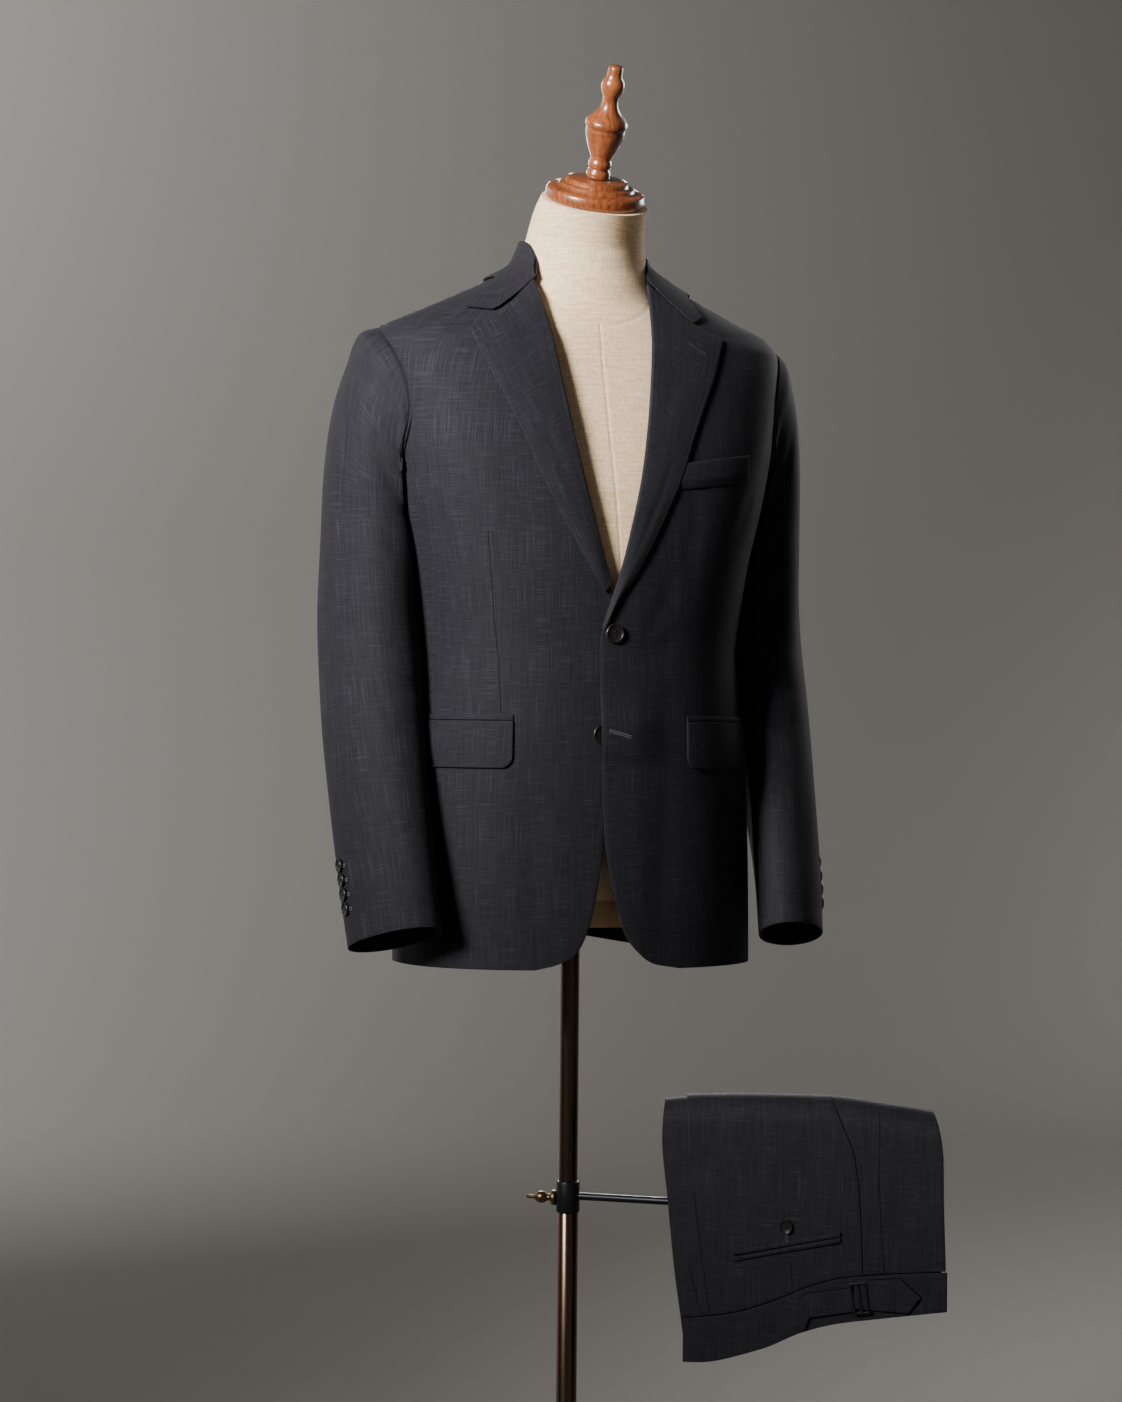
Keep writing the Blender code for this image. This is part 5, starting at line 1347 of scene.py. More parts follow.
# %% Button helper
def applied(made):
    """Applies a piece's modifiers, so that its mesh is the finished one."""
    shown = made.evaluated_get(bpy.context.evaluated_depsgraph_get())
    before = made.data
    made.data = bpy.data.meshes.new_from_object(shown)
    made.modifiers.clear()
    bpy.data.meshes.remove(before)
    return made


def button(name, radius, thick, point, facing, body, replaces):
    """A four-hole horn button on a point of the cloth. Returns its two bars of thread."""
    rim = radius * 0.82
    profile = ((0.0, 0.0), (radius * 0.84, 0.0), (radius * 0.95, thick * 0.14),
               (radius, thick * 0.38), (radius, thick * 0.66), (radius * 0.97, thick * 0.88),
               (radius * 0.91, thick), (radius * 0.86, thick * 0.98), (rim, thick * 0.90),
               (rim * 0.92, thick * 0.72), (rim * 0.80, thick * 0.64), (0.0, thick * 0.58))
    place = placed(point, facing)
    made = turned(name, profile, horn, body, (replaces,), place)
    holes = bmesh.new()
    step = radius * 0.19
    for x, y in ((step, step), (-step, step), (step, -step), (-step, -step)):
        bmesh.ops.create_cone(holes, cap_ends=True, segments=16, radius1=radius * 0.085,
                              radius2=radius * 0.085, depth=thick,
                              matrix=place @ Matrix.Translation((x, y, thick * 0.72)))
    mesh = bpy.data.meshes.new("button_holes")
    holes.to_mesh(mesh)
    holes.free()
    drill = bpy.data.objects.new("button_holes", mesh)
    bpy.context.scene.collection.objects.link(drill)
    cut = made.modifiers.new("holes", "BOOLEAN")
    cut.operation = "DIFFERENCE"
    cut.solver = "EXACT"
    cut.object = drill
    applied(made)
    bpy.data.objects.remove(drill)
    keep_sharp(made, 35)
    along = place.to_3x3() @ Vector((1, 0, 0))
    return [(place @ Vector((0.0, side * step, thick * 0.64)), along, facing, step * 2.6)
            for side in (1, -1)]


# %% [markdown]
# ## Hand stitches
# A good suit shows its handwork: small pick stitches close to the edges of lapels, collar,
# fronts and flaps, and buttonholes worked over with silk twist. Each stitch is one small round
# grain, and all of a row are joined in one mesh.

# %% Stitch helpers
PICK_PITCH = 0.0042
PICK_LONG = 0.0017
PICK_WIDE = 0.0007
HOLE_PITCH = 0.00075
HOLE_BAR = 0.0021
HOLE_WIDE = 0.0008


def stitches(name, places, look, wide, body="form"):
    """One joined mesh of grains. Each place is a point, a direction, a normal and a length."""
    bm = bmesh.new()
    for point, along, normal, long in places:
        across = normal.cross(along).normalized()
        grain = Matrix((along.normalized() * long / 2, across * wide / 2, normal * wide / 2))
        grain = Matrix.Translation(point) @ grain.transposed().to_4x4()
        bmesh.ops.create_icosphere(bm, subdivisions=1, radius=1.0, matrix=grain)
    bmesh.ops.recalc_face_normals(bm, faces=bm.faces[:])
    print(name, len(places), "stitches")
    return finished(name, bm, look, body)


def along_edge(face, path, side=1, pitch=PICK_PITCH, long=PICK_LONG):
    """Stitch places every pitch along path(u) on a face, for u from 0 to 1."""
    shares = [i / 300 for i in range(301)]
    points = [face(*path(u)) for u in shares]
    places, run = [], 0.0
    for u, a, b in zip(shares, points, points[1:]):
        run += (b - a).length
        if run >= pitch:
            run -= pitch
            places.append((b, b - a, normal_of(face, *path(u)) * side, long))
    return places


def worked_hole(start, end, normal, eye=True):
    """The bars of a buttonhole: two rows across a slit, and a ring round the eye at its start."""
    line = end - start
    across = normal.cross(line).normalized()
    count = int(line.length / HOLE_PITCH)
    places = []
    for i in range(count + 1):
        middle = start + line * i / count
        places += [(middle + across * HOLE_BAR * 0.5 * way, across, normal, HOLE_BAR * 0.85)
                   for way in (1, -1)]
    if eye:
        for i in range(9):
            turn = math.pi * (i / 8 + 0.5)
            out = line.normalized() * math.cos(turn) + across * math.sin(turn)
            places.append((start + out * HOLE_BAR * 0.5, out, normal, HOLE_BAR * 0.9))
    return places


# %% Buttons in place
threads = []
for name, (out, height), side in (("button_top", TOP_BUTTON, 1), ("button_low", LOW_BUTTON, -1)):
    threads += button(f"{name}_horn", FRONT_BUTTON_RADIUS, FRONT_BUTTON_THICK,
                      *front_place(out, height, side), "form", name)
for side, word in ((1, "left"), (-1, "right")):
    for i, height in enumerate(CUFF_BUTTONS):
        threads += button(f"cuff_button_{word}_{i + 1}_horn", CUFF_BUTTON_RADIUS,
                          CUFF_BUTTON_THICK, *cuff_place(height, side), "form",
                          f"cuff_button_{word}_{i + 1}")
stitches("button_threads", threads, button_thread, 0.0009)

# %% Pick stitches
picks = []
for side in (1, -1):
    lapel = rolled_lapel(side)
    picks += along_edge(lapel, lambda u: (0.962, mix(0.03, 0.985, u)), side)
    picks += along_edge(lapel, lambda u: (mix(0.955, 0.50, u), 0.985), side)
    front = front_surface(side)
    below = 0.0 if side > 0 else 0.06
    picks += along_edge(front, lambda u: (0.022, mix(0.10 + below, 0.44, u)), side)
    flap = flap_faces[side]
    picks += along_edge(flap, lambda u: (mix(0.04, 0.97, u), 0.065), side)
    picks += along_edge(flap, lambda u: (0.045, mix(0.12, 0.92, u)), side)
picks += along_edge(welt, lambda u: (mix(0.04, 0.96, u), 0.90))


def leaf(s, t):
    return moved(collar_face, s, t, COLLAR_THICK / 2)


picks += along_edge(leaf, lambda u: (mix(0.02, 0.98, u), 0.032))
stitches("pick_stitches", picks, silk_thread, PICK_WIDE)

# %% Buttonholes
CUFF_HOLE_FROM, CUFF_HOLE_LONG = 0.0060, 0.0075     # from the button's middle
holes = []
ends = [on_front(x, z, 1) for x, z in ((-0.0128, 1.0381), (0.0080, 1.0321))]
holes += worked_hole(*ends, front_place(LOW_BUTTON[0], 1.035, 1)[1])
left_lapel = rolled_lapel(1)
ends = [left_lapel(0.799, 0.909), left_lapel(0.557, 0.915)]
lapel_hole = worked_hole(*ends, normal_of(left_lapel, 0.70, 0.912))
stitches("lapel_buttonhole", lapel_hole, silk_thread, HOLE_WIDE)
for side in (1, -1):
    for height in CUFF_BUTTONS:
        point, facing = cuff_place(height, side)
        level = facing.cross(Vector((0, 0, 1))).normalized() * side
        start = point + level * CUFF_HOLE_FROM - facing * 0.0002
        end = start + level * CUFF_HOLE_LONG + Vector((0, 0, 0.0012))
        holes += worked_hole(start, end, facing, False)
stitches("buttonholes", holes, hole_thread, HOLE_WIDE)

# %% [markdown]
# ## The dress form
# The form is a firm body covered in linen, with a seam down the front and one round the neck.
# Its rings are bridged into one closed skin, down to the socket that takes the tube. On top of
# the neck lie a turned wooden cap and a finial, both leaning forward with the neck.

# %% Form cover
UPPER_TUBE_RADIUS = 0.0100
UPPER_TUBE_TOP = 0.8800
FORM_AROUND = 144
SEAM_GROOVE = 0.0007
NECK_SEAM_FRONT = 1.459     # the neck seam dips to here in front
NECK_SEAM_RISE = 0.053      # and rises this much towards the sides and back
SEAM_DRIFT = math.radians(-5.6)     # the front seam leans off centre towards the neck
DRIFT_FROM = 1.22           # from this height up
HEM_BAND = 0.864            # top of the band round the form's lower edge
GROOVE_WIDE = 0.0013
COVER_RADIUS = 0.13         # about the form's radius, to measure round it


def tip_forward(point, height):
    """Above the neck's base the level sections tip forward, up to the neck's top plane."""
    share = ease((height - NECK_TILT_FROM) / (FORM_TOP - NECK_TILT_FROM))
    middle = form.middle(height)
    point.z += math.tan(NECK_TILT * share) * (point.y - middle)
    return point


def cover_point(turn, height):
    """The linen's face, with a groove along the front seam, the neck seam and the hem band."""
    turn = (turn + math.pi) % math.tau - math.pi
    drift = SEAM_DRIFT * min(max((height - DRIFT_FROM) / 0.236, 0.0), 1.2)
    neck_seam = NECK_SEAM_FRONT + NECK_SEAM_RISE * ease(abs(turn) / math.radians(80))
    groove = 0.0
    if height < neck_seam:
        groove = math.exp(-(((turn - drift) * COVER_RADIUS) / GROOVE_WIDE) ** 2)
    groove += math.exp(-((height - neck_seam) / GROOVE_WIDE) ** 2)
    groove += math.exp(-((height - HEM_BAND) / 0.0016) ** 2)
    point = form.around(turn, height)
    point -= Vector((math.sin(turn), -math.cos(turn), 0.0)) * SEAM_GROOVE * min(groove, 1.2)
    return tip_forward(point, height)


# The columns crowd together near the front seam, where its groove needs them.
COVER_TURNS = [math.tau * (i / FORM_AROUND) - 0.80 * math.sin(math.tau * i / FORM_AROUND)
               for i in range(FORM_AROUND)]
bm = bmesh.new()
rings = []
socket = UPPER_TUBE_RADIUS + SLIP
shares = np.unique(np.round(np.concatenate([
    np.linspace(FORM[0].height, 1.44, 70), np.linspace(0.859, 0.869, 6),
    np.linspace(1.44, 1.52, 74), np.linspace(1.522, FORM_TOP, 18)]), 4))
for height in (UPPER_TUBE_TOP + SLIP, FORM[0].height):
    ring = bmesh.ops.create_circle(bm, cap_ends=False, segments=FORM_AROUND, radius=socket)["verts"]
    bmesh.ops.translate(bm, vec=(0, 0, height), verts=ring)
    rings.append([ring[-i % FORM_AROUND] for i in range(FORM_AROUND)])
for height in shares:
    ring = bmesh.ops.create_circle(bm, cap_ends=False, segments=FORM_AROUND, radius=1.0)["verts"]
    for i, vert in enumerate(ring):
        vert.co = cover_point(COVER_TURNS[i], float(height))
    rings.append(ring)
loops = [[bm.edges.get((ring[i], ring[(i + 1) % FORM_AROUND])) for i in range(FORM_AROUND)]
         for ring in rings]
for lower, upper in zip(loops, loops[1:]):
    bmesh.ops.bridge_loops(bm, edges=lower + upper)
bmesh.ops.contextual_create(bm, geom=loops[0])
bmesh.ops.contextual_create(bm, geom=loops[-1])
bmesh.ops.recalc_face_normals(bm, faces=bm.faces[:])
cover = finished("form_cover", bm, linen_cover, "form", ("form_body",))
keep_sharp(cover, 40)
print("form cover", len(cover.data.polygons), "faces")

# %% Cap and finial
neck_top = Vector((0.0, form.middle(FORM_TOP), FORM_TOP))
neck_up = Vector((0.0, -math.sin(NECK_TILT), math.cos(NECK_TILT)))
cap_place = Matrix.Translation(neck_top + neck_up * SLIP) @ Matrix.Rotation(NECK_TILT, 4, "X")
turned("neck_cap_wood", (
    (0.0, 0.0), (0.0480, 0.0), (0.0508, 0.0004), (0.0518, 0.0022), (0.0520, 0.0060),
    (0.0518, 0.0100), (0.0508, 0.0120), (0.0496, 0.0130), (0.0460, 0.0138), (0.0430, 0.0142),
    (0.0410, 0.0150), (0.0400, 0.0160), (0.0392, 0.0178), (0.0385, 0.0185), (0.0340, 0.0190),
    (0.0330, 0.0200), (0.0325, 0.0232), (0.0300, 0.0240), (0.0, 0.0252)),
    beech, "form", ("neck_cap",), cap_place, 96)
finial_place = (Matrix.Translation(neck_top + neck_up * (SLIP + 0.0252 + 0.0012))
                @ Matrix.Rotation(FINIAL_TILT, 4, "X"))
turned("finial_wood", (
    (0.0, 0.0), (0.0122, 0.0), (0.0128, 0.0006), (0.0126, 0.0040), (0.0120, 0.0070),
    (0.0102, 0.0088), (0.0102, 0.0096), (0.0116, 0.0112), (0.0122, 0.0140), (0.0118, 0.0170),
    (0.0107, 0.0186), (0.0105, 0.0200), (0.0117, 0.0235), (0.0135, 0.0270), (0.0163, 0.0335),
    (0.0185, 0.0400), (0.0200, 0.0450), (0.0205, 0.0490), (0.0203, 0.0512), (0.0199, 0.0526),
    (0.0206, 0.0538), (0.0218, 0.0552), (0.0220, 0.0570), (0.0218, 0.0590), (0.0209, 0.0605),
    (0.0195, 0.0625), (0.0160, 0.0655), (0.0130, 0.0690), (0.0103, 0.0728), (0.0085, 0.0770),
    (0.0079, 0.0820), (0.0080, 0.0858), (0.0093, 0.0880), (0.0100, 0.0897), (0.0113, 0.0925),
    (0.0120, 0.0960), (0.0119, 0.0992), (0.0112, 0.1020), (0.0094, 0.1048), (0.0080, 0.1072),
    (0.0076, 0.1110), (0.0074, 0.1160), (0.0066, 0.1182), (0.0, 0.1190)),
    beech, "form", ("finial",), finial_place, 64)

# %% [markdown]
# ## Stand, clamp and side arm
# The stand is steel: a heavy round plate with a socket, a tube in it, and a second tube that
# slides up inside and carries the form. A clamp collar holds the side arm. All are turned
# pieces, spun from a profile with their edges rounded. The arm is a bent rod, so it is a curve
# with a round section, which keeps its thickness through the bends.

# %% Stand
BASE_RADIUS = 0.175
BASE_THICK = 0.012
BOSS_RADIUS = 0.021
BOSS_TOP = 0.050
LOWER_TUBE_RADIUS = 0.0110
LOWER_TUBE_TOP = 0.5250
UPPER_TUBE_BOTTOM = 0.2500
CLAMP_BOTTOM = 0.5255
CLAMP_TOP = 0.5590
CLAMP_RADIUS = 0.0125
ARM_TURN = math.radians(-38.0)      # direction of the side arm from +X
ARM_HEIGHT = 0.5430
ARM_RADIUS = 0.0040
ARM_RISE_AT = 0.150                 # where the arm turns up inside the trousers
ARM_END = 0.385
RAIL_HEIGHT = 0.6340
ARM_BEND = 0.016
bore = UPPER_TUBE_RADIUS + SLIP
fit = LOWER_TUBE_RADIUS + SLIP
turned("base_plate_steel", (
    (0.0, 0.0), (BASE_RADIUS - 0.004, 0.0), (BASE_RADIUS - 0.0012, 0.0009), (BASE_RADIUS, 0.003),
    (BASE_RADIUS, BASE_THICK - 0.004), (BASE_RADIUS - 0.0012, BASE_THICK - 0.0012),
    (BASE_RADIUS - 0.004, BASE_THICK), (0.150, BASE_THICK + 0.0002), (0.060, BASE_THICK + 0.0010),
    (BOSS_RADIUS + 0.006, BASE_THICK + 0.002), (BOSS_RADIUS + 0.0018, BASE_THICK + 0.0036),
    (BOSS_RADIUS, BASE_THICK + 0.008), (BOSS_RADIUS, BOSS_TOP - 0.002),
    (BOSS_RADIUS - 0.0006, BOSS_TOP - 0.0006), (BOSS_RADIUS - 0.002, BOSS_TOP), (fit, BOSS_TOP),
    (fit, BASE_THICK), (0.0, BASE_THICK)), bronze, "base", ("base_plate",),
    None, 128)
turned("pole_lower_steel", (
    (LOWER_TUBE_RADIUS, BASE_THICK + SLIP), (LOWER_TUBE_RADIUS, LOWER_TUBE_TOP - 0.0004),
    (LOWER_TUBE_RADIUS - 0.0003, LOWER_TUBE_TOP), (bore, LOWER_TUBE_TOP),
    (bore, BASE_THICK + SLIP)), bronze, "base", ("pole_lower",), None, 64)
turned("pole_upper_steel", (
    (0.0, UPPER_TUBE_BOTTOM), (UPPER_TUBE_RADIUS, UPPER_TUBE_BOTTOM),
    (UPPER_TUBE_RADIUS, UPPER_TUBE_TOP), (0.0, UPPER_TUBE_TOP)),
    bronze, "upper", ("pole_upper",), None, 64)
turned("clamp_collar_metal", (
    (bore, CLAMP_BOTTOM), (CLAMP_RADIUS - 0.0014, CLAMP_BOTTOM),
    (CLAMP_RADIUS - 0.0004, CLAMP_BOTTOM + 0.0006), (CLAMP_RADIUS, CLAMP_BOTTOM + 0.0018),
    (CLAMP_RADIUS, CLAMP_TOP - 0.0018), (CLAMP_RADIUS - 0.0004, CLAMP_TOP - 0.0006),
    (CLAMP_RADIUS - 0.0014, CLAMP_TOP), (bore, CLAMP_TOP)),
    black_satin, "arm", ("clamp_collar",), None, 64)
for name in ("base_plate_steel", "pole_lower_steel", "pole_upper_steel", "clamp_collar_metal"):
    keep_sharp(bpy.data.objects[name], 50)

# %% Knob
SHEAR = 0.30                # each layer behind lies this much nearer to the stand for its depth


def along_arm(u, w, height):
    """A point given along the arm, towards the viewer, and up."""
    c, s = math.cos(ARM_TURN), math.sin(ARM_TURN)
    return Vector((u * c + w * s, u * s - w * c, height))


def in_fold(u, w, height):
    """The same for the folded cloth, whose layers behind lie nearer to the stand."""
    return along_arm(u - SHEAR * (FRONT_FACE - w), w, height)


knob_place = (Matrix.Translation(along_arm(-(CLAMP_RADIUS + SLIP), 0.0, ARM_HEIGHT - 0.0030))
              @ Matrix.Rotation(ARM_TURN, 4, "Z") @ Matrix.Rotation(-math.pi / 2, 4, "Y"))
turned("clamp_knob_brass", (
    (0.0, 0.0), (0.0076, 0.0), (0.0080, 0.0006), (0.0080, 0.0040), (0.0074, 0.0048),
    (0.0060, 0.0054), (0.0042, 0.0060), (0.0036, 0.0068), (0.0034, 0.0095), (0.0040, 0.0108),
    (0.0052, 0.0122), (0.0062, 0.0148), (0.0065, 0.0170), (0.0062, 0.0195), (0.0052, 0.0215),
    (0.0038, 0.0232), (0.0026, 0.0244), (0.0022, 0.0256), (0.0022, 0.0322), (0.0016, 0.0332),
    (0.0, 0.0333)), brass, "knob", ("clamp_knob",), knob_place, 48)
keep_sharp(bpy.data.objects["clamp_knob_brass"], 50)

# %% Side arm
route = []
for u, height, turn in ((ARM_RISE_AT - ARM_BEND, ARM_HEIGHT + ARM_BEND, -90),
                        (ARM_RISE_AT + ARM_BEND, RAIL_HEIGHT - ARM_BEND, 180)):
    way = 1 if turn < 0 else -1
    for i in range(9):
        angle = math.radians(turn + way * 90 * i / 8)
        route.append((u + ARM_BEND * math.cos(angle), height + ARM_BEND * math.sin(angle)))
route = [(CLAMP_RADIUS + SLIP, ARM_HEIGHT), *route, (ARM_END, RAIL_HEIGHT)]
path = bpy.data.curves.new("trouser_arm_rod", "CURVE")
path.dimensions = "3D"
path.bevel_depth = ARM_RADIUS
path.bevel_resolution = 6
path.use_fill_caps = True
spline = path.splines.new("POLY")
spline.points.add(len(route) - 1)
for point, (u, height) in zip(spline.points, route):
    point.co = (*along_arm(u, 0.0, height), 1.0)
path.materials.append(black_satin)
rod = bpy.data.objects.new("trouser_arm_rod", path)
bpy.context.scene.collection.objects.link(rod)
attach(rod, "arm")
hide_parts("trouser_arm")
print("arm points", len(route))

# %% [markdown]
# ## Folded trousers
# The trousers hang folded over the arm's rail, waistband down on the side towards the viewer.
# What shows is the left leg's back and front piece with the side seam between them. The other
# layers of the two legs lie inside, edge beside edge. A flat mesh could be bent over the rail by
# cloth simulation, but a pressed fold is regular, so each row of the cloth is placed on a path
# up the front, over a half round and down behind.

# %% Lines of the trousers
Edge = namedtuple("Edge", "height left seam right")
TROUSER_EDGES = (
    Edge(0.380, 0.1390, 0.3270, 0.4140),
    Edge(0.4254, 0.1335, 0.3268, 0.4138),
    Edge(0.4600, 0.1375, 0.3265, 0.4130),
    Edge(0.5000, 0.1395, 0.3258, 0.4120),
    Edge(0.5592, 0.1398, 0.3224, 0.4098),
    Edge(0.6030, 0.1395, 0.3167, 0.4090),
    Edge(0.6350, 0.1380, 0.3040, 0.4050),
    Edge(0.6620, 0.1370, 0.2931, 0.3975),
)
Line = namedtuple("Line", "u height")
WAIST_SEAM = (Line(0.1326, 0.4254), Line(0.1866, 0.4342), Line(0.2282, 0.4484),
              Line(0.2743, 0.4689), Line(0.3042, 0.4780), Line(0.3492, 0.4844),
              Line(0.4140, 0.4909))
WAIST_EDGE = (Line(0.1326, 0.3800), Line(0.1515, 0.3808), Line(0.2191, 0.3991),
              Line(0.2636, 0.4197), Line(0.2973, 0.4302), Line(0.3423, 0.4384),
              Line(0.4140, 0.4503))
FOLD_TOP = (Line(0.1100, 0.6530), Line(0.1300, 0.6560), Line(0.2100, 0.6605),
            Line(0.2900, 0.6620), Line(0.3480, 0.6570), Line(0.3975, 0.6515),
            Line(0.4140, 0.6480))
LAYER_LEFT = (Line(0.1390, 0.380), Line(0.1326, 0.425), Line(0.1257, 0.471),
              Line(0.1173, 0.548), Line(0.1114, 0.606), Line(0.1142, 0.654))
FRONT_FACE = 0.0240         # the outer face towards the viewer, from the arm's axis
REAR_FACE = 0.0310
REAR_ABOVE = 0.020          # the folded legs end this far above the waistband's edge
LAYER_ABOVE = 0.004         # the layers inside end this far from the outer one's edges
WAISTBAND_LEFT = 0.1350
WAISTBAND_RIGHT = 0.4138
WAISTBAND_LIFT = 0.0004
POCKET_LINE = (Line(0.1892, 0.4943), Line(0.3038, 0.5204))
POCKET_LEFT = 0.1900
POCKET_RIGHT = 0.3030
POCKET_JET = 0.0054         # height of each jet of the back pocket
POCKET_BUTTON = Line(0.2456, 0.5275)
STRAP_THICK = 0.0016        # the side adjuster: a strap, a tab and a buckle on the waistband
STRAP_LOW = (Line(0.2517, 0.4392), Line(0.2655, 0.4195), Line(0.2709, 0.4357),
             Line(0.3172, 0.4452))
STRAP_TOP = (Line(0.2517, 0.4406), Line(0.2655, 0.4588), Line(0.2709, 0.4604),
             Line(0.3172, 0.4692))
TAB_LOW = (Line(0.3330, 0.4480), Line(0.3745, 0.4470), Line(0.3868, 0.4632))
TAB_TOP = (Line(0.3330, 0.4775), Line(0.3655, 0.4815), Line(0.3868, 0.4646))
STRAP_ENDS = (0.2517, 0.3170)
TAB_ENDS = (0.3180, 0.3868)
BUCKLE_U = 0.3245
BUCKLE_HEIGHT = 0.4590
BUCKLE_WIDE = 0.0185
BUCKLE_TALL = 0.0330
BUCKLE_BAR = 0.0026
BUCKLE_THICK = 0.0018
BUCKLE_TILT = math.radians(9.0)
waist_seam = curve([row.u for row in WAIST_SEAM], [row.height for row in WAIST_SEAM])
waist_edge = curve([row.u for row in WAIST_EDGE], [row.height for row in WAIST_EDGE])
fold_top = curve([row.u for row in FOLD_TOP], [row.height for row in FOLD_TOP])
layer_left = curve([row.height for row in LAYER_LEFT], [row.u for row in LAYER_LEFT])
trouser_left, trouser_seam, trouser_right = columns(TROUSER_EDGES)
FOLD_ROWS = 22              # rows of the cloth: up the front, over the fold, down behind
FOLD_FROM = 7 / FOLD_ROWS
FOLD_TO = 15 / FOLD_ROWS


# %% Surfaces of the trousers
def fold_profile(t, front, rear, top, front_end, rear_end):
    """A path over the rail in the (w, height) plane: up the front, over the fold, down behind.
    front and rear are the faces' distances from the rail's axis."""
    half = (front + rear) / 2
    middle = (front - rear) / 2
    centre = top - half
    up = centre - front_end
    down = centre - rear_end
    if t <= FOLD_FROM:
        return front, front_end + up * t / FOLD_FROM
    if t <= FOLD_TO:
        angle = math.pi * (t - FOLD_FROM) / (FOLD_TO - FOLD_FROM)
        return middle + half * math.cos(angle), centre + half * math.sin(angle)
    return -rear, centre - down * (t - FOLD_TO) / (1 - FOLD_TO)


def trouser_surface(left, right):
    """left and right give u at a height; the panel runs between them, over the fold."""

    def surface(s, t):
        u = mix(0.1395, 0.405, s)
        for _ in range(2):
            shape = (FRONT_FACE, REAR_FACE, fold_top(u), waist_seam(u) + SEAM,
                     waist_edge(u) + REAR_ABOVE)
            w, height = fold_profile(t, *shape)
            u = mix(left(height), right(height), s)
        return in_fold(u, w, height)

    return surface


def band_surface(lower, upper, left, right, out):
    """A piece on the side towards the viewer: lower and upper give heights along u."""

    def surface(s, t):
        u = mix(left, right, s)
        return along_arm(u, FRONT_FACE + out, mix(lower(u), upper(u), t))

    return surface


def polyline(points):
    us = [point[0] for point in points]
    hs = [point[1] for point in points]
    return lambda u: float(np.interp(u, us, hs))


def trouser_chart(surface):
    """Cloth coordinates: along the arm, and up the front, over the fold, down behind."""

    def chart(s, t):
        point = surface(s, t)
        c, sn = math.cos(ARM_TURN), math.sin(ARM_TURN)
        behind = FRONT_FACE - (point.x * sn - point.y * c)
        u = point.x * c + point.y * sn + SHEAR * behind
        height = point.z if t < (FOLD_FROM + FOLD_TO) / 2 else 2 * fold_top(u) - point.z
        return u, height + 0.6 * behind

    return chart


def trouser_rows(front, fold, rear):
    return [*np.linspace(0, FOLD_FROM, front, endpoint=False),
            *np.linspace(FOLD_FROM, FOLD_TO, fold, endpoint=False),
            *np.linspace(FOLD_TO, 1, rear)]


# %% Legs
# Lines of the legs' seams and pocket, each drawn as a thin line of painted shade.
BACK_LINES = (((0.1363, 0.4988), (0.1554, 0.4301)), ((0.1455, 0.5588), (0.1640, 0.4317)),
              ((0.2502, 0.4901), (0.2526, 0.4634)), ((0.1895, 0.4944), (0.3035, 0.5204)))
FRONT_LINES = (((0.3430, 0.6535), (0.3425, 0.5820)), ((0.3425, 0.5820), (0.3460, 0.5203)),
               ((0.3460, 0.5203), (0.3492, 0.4849)))
LEG_CREASES = creases(
    (0.160, 0.600, 84, 0.060, 0.016, 0.0014),
    (0.200, 0.560, 76, 0.050, 0.016, 0.0011),
    (0.270, 0.590, 88, 0.060, 0.018, 0.0012),
    (0.235, 0.470, 70, 0.020, 0.008, 0.0008),
    (0.290, 0.500, 60, 0.024, 0.010, 0.0009),
    (0.370, 0.560, 86, 0.070, 0.014, 0.0013),
    (0.335, 0.620, 80, 0.050, 0.012, 0.0010),
    (0.240, 0.850, 84, 0.070, 0.018, 0.0014),
    (0.350, 0.830, 88, 0.060, 0.014, 0.0013),
    (0.180, 0.800, 80, 0.050, 0.014, 0.0012),
)
for name, left, right, lines, cols in (
        ("back", trouser_left, lambda height: trouser_seam(height) - SEAM / 2, BACK_LINES, 56),
        ("front", lambda height: trouser_seam(height) + SEAM / 2, trouser_right, FRONT_LINES, 28)):
    surface = trouser_surface(left, right)
    shell(f"trouser_{name}_cloth", surface, cols, trouser_rows(44, 22, 44),
          (f"trouser_{name}_panel",), pressed=LEG_CREASES, chart=trouser_chart(surface),
          look=worsted(f"worsted_leg_{name}", lines), body="arm")

# %% Inner layers
LAYER_DEPTHS = (0.0026, 0.0079, 0.0130)     # how deep each inner layer lies
LAYER_STEP = 0.0026                         # how far each one's edge stands back


def layer_surface(index):
    depth = LAYER_DEPTHS[index]

    def surface(s, t):
        u = mix(LAYER_LEFT[-1].u, TROUSER_EDGES[-1].right, s)
        for _ in range(2):
            wave = 0.0010 * math.sin(u * 60 + index * 2.1)
            front_end = waist_edge(u) + LAYER_ABOVE + index * 0.0015 + wave
            w, height = fold_profile(t, FRONT_FACE - depth, REAR_FACE - depth * 1.25,
                                     fold_top(u) - depth, front_end, front_end + REAR_ABOVE)
            left = layer_left(height) + index * LAYER_STEP
            u = mix(left, trouser_right(height) - LAYER_ABOVE - index * LAYER_STEP, s)
        return in_fold(u, w, height)

    return surface


for i in range(3):
    shell(f"trouser_layer_{i + 1}", layer_surface(i), 40, trouser_rows(24, 18, 24),
          ("trouser_layers",) if i == 0 else (), pressed=LEG_CREASES[:4], body="arm",
          thick=0.0016, chart=trouser_chart(layer_surface(i)))

# %% Waistband
BAND_CREASES = creases(
    (0.262, 0.424, 80, 0.016, 0.005, 0.0006),
    (0.300, 0.447, 84, 0.018, 0.005, 0.0007),
    (0.236, 0.430, 86, 0.018, 0.007, 0.0005),
    (0.345, 0.455, 88, 0.018, 0.006, 0.0005),
    (0.398, 0.466, 88, 0.018, 0.007, 0.0005),
    (0.190, 0.408, 84, 0.018, 0.008, 0.0005),
)


def plane_chart(surface):
    """A chart of metres along the arm and metres of height."""
    def chart(s, t):
        point = surface(s, t)
        return point.x * math.cos(ARM_TURN) + point.y * math.sin(ARM_TURN), point.z

    return chart


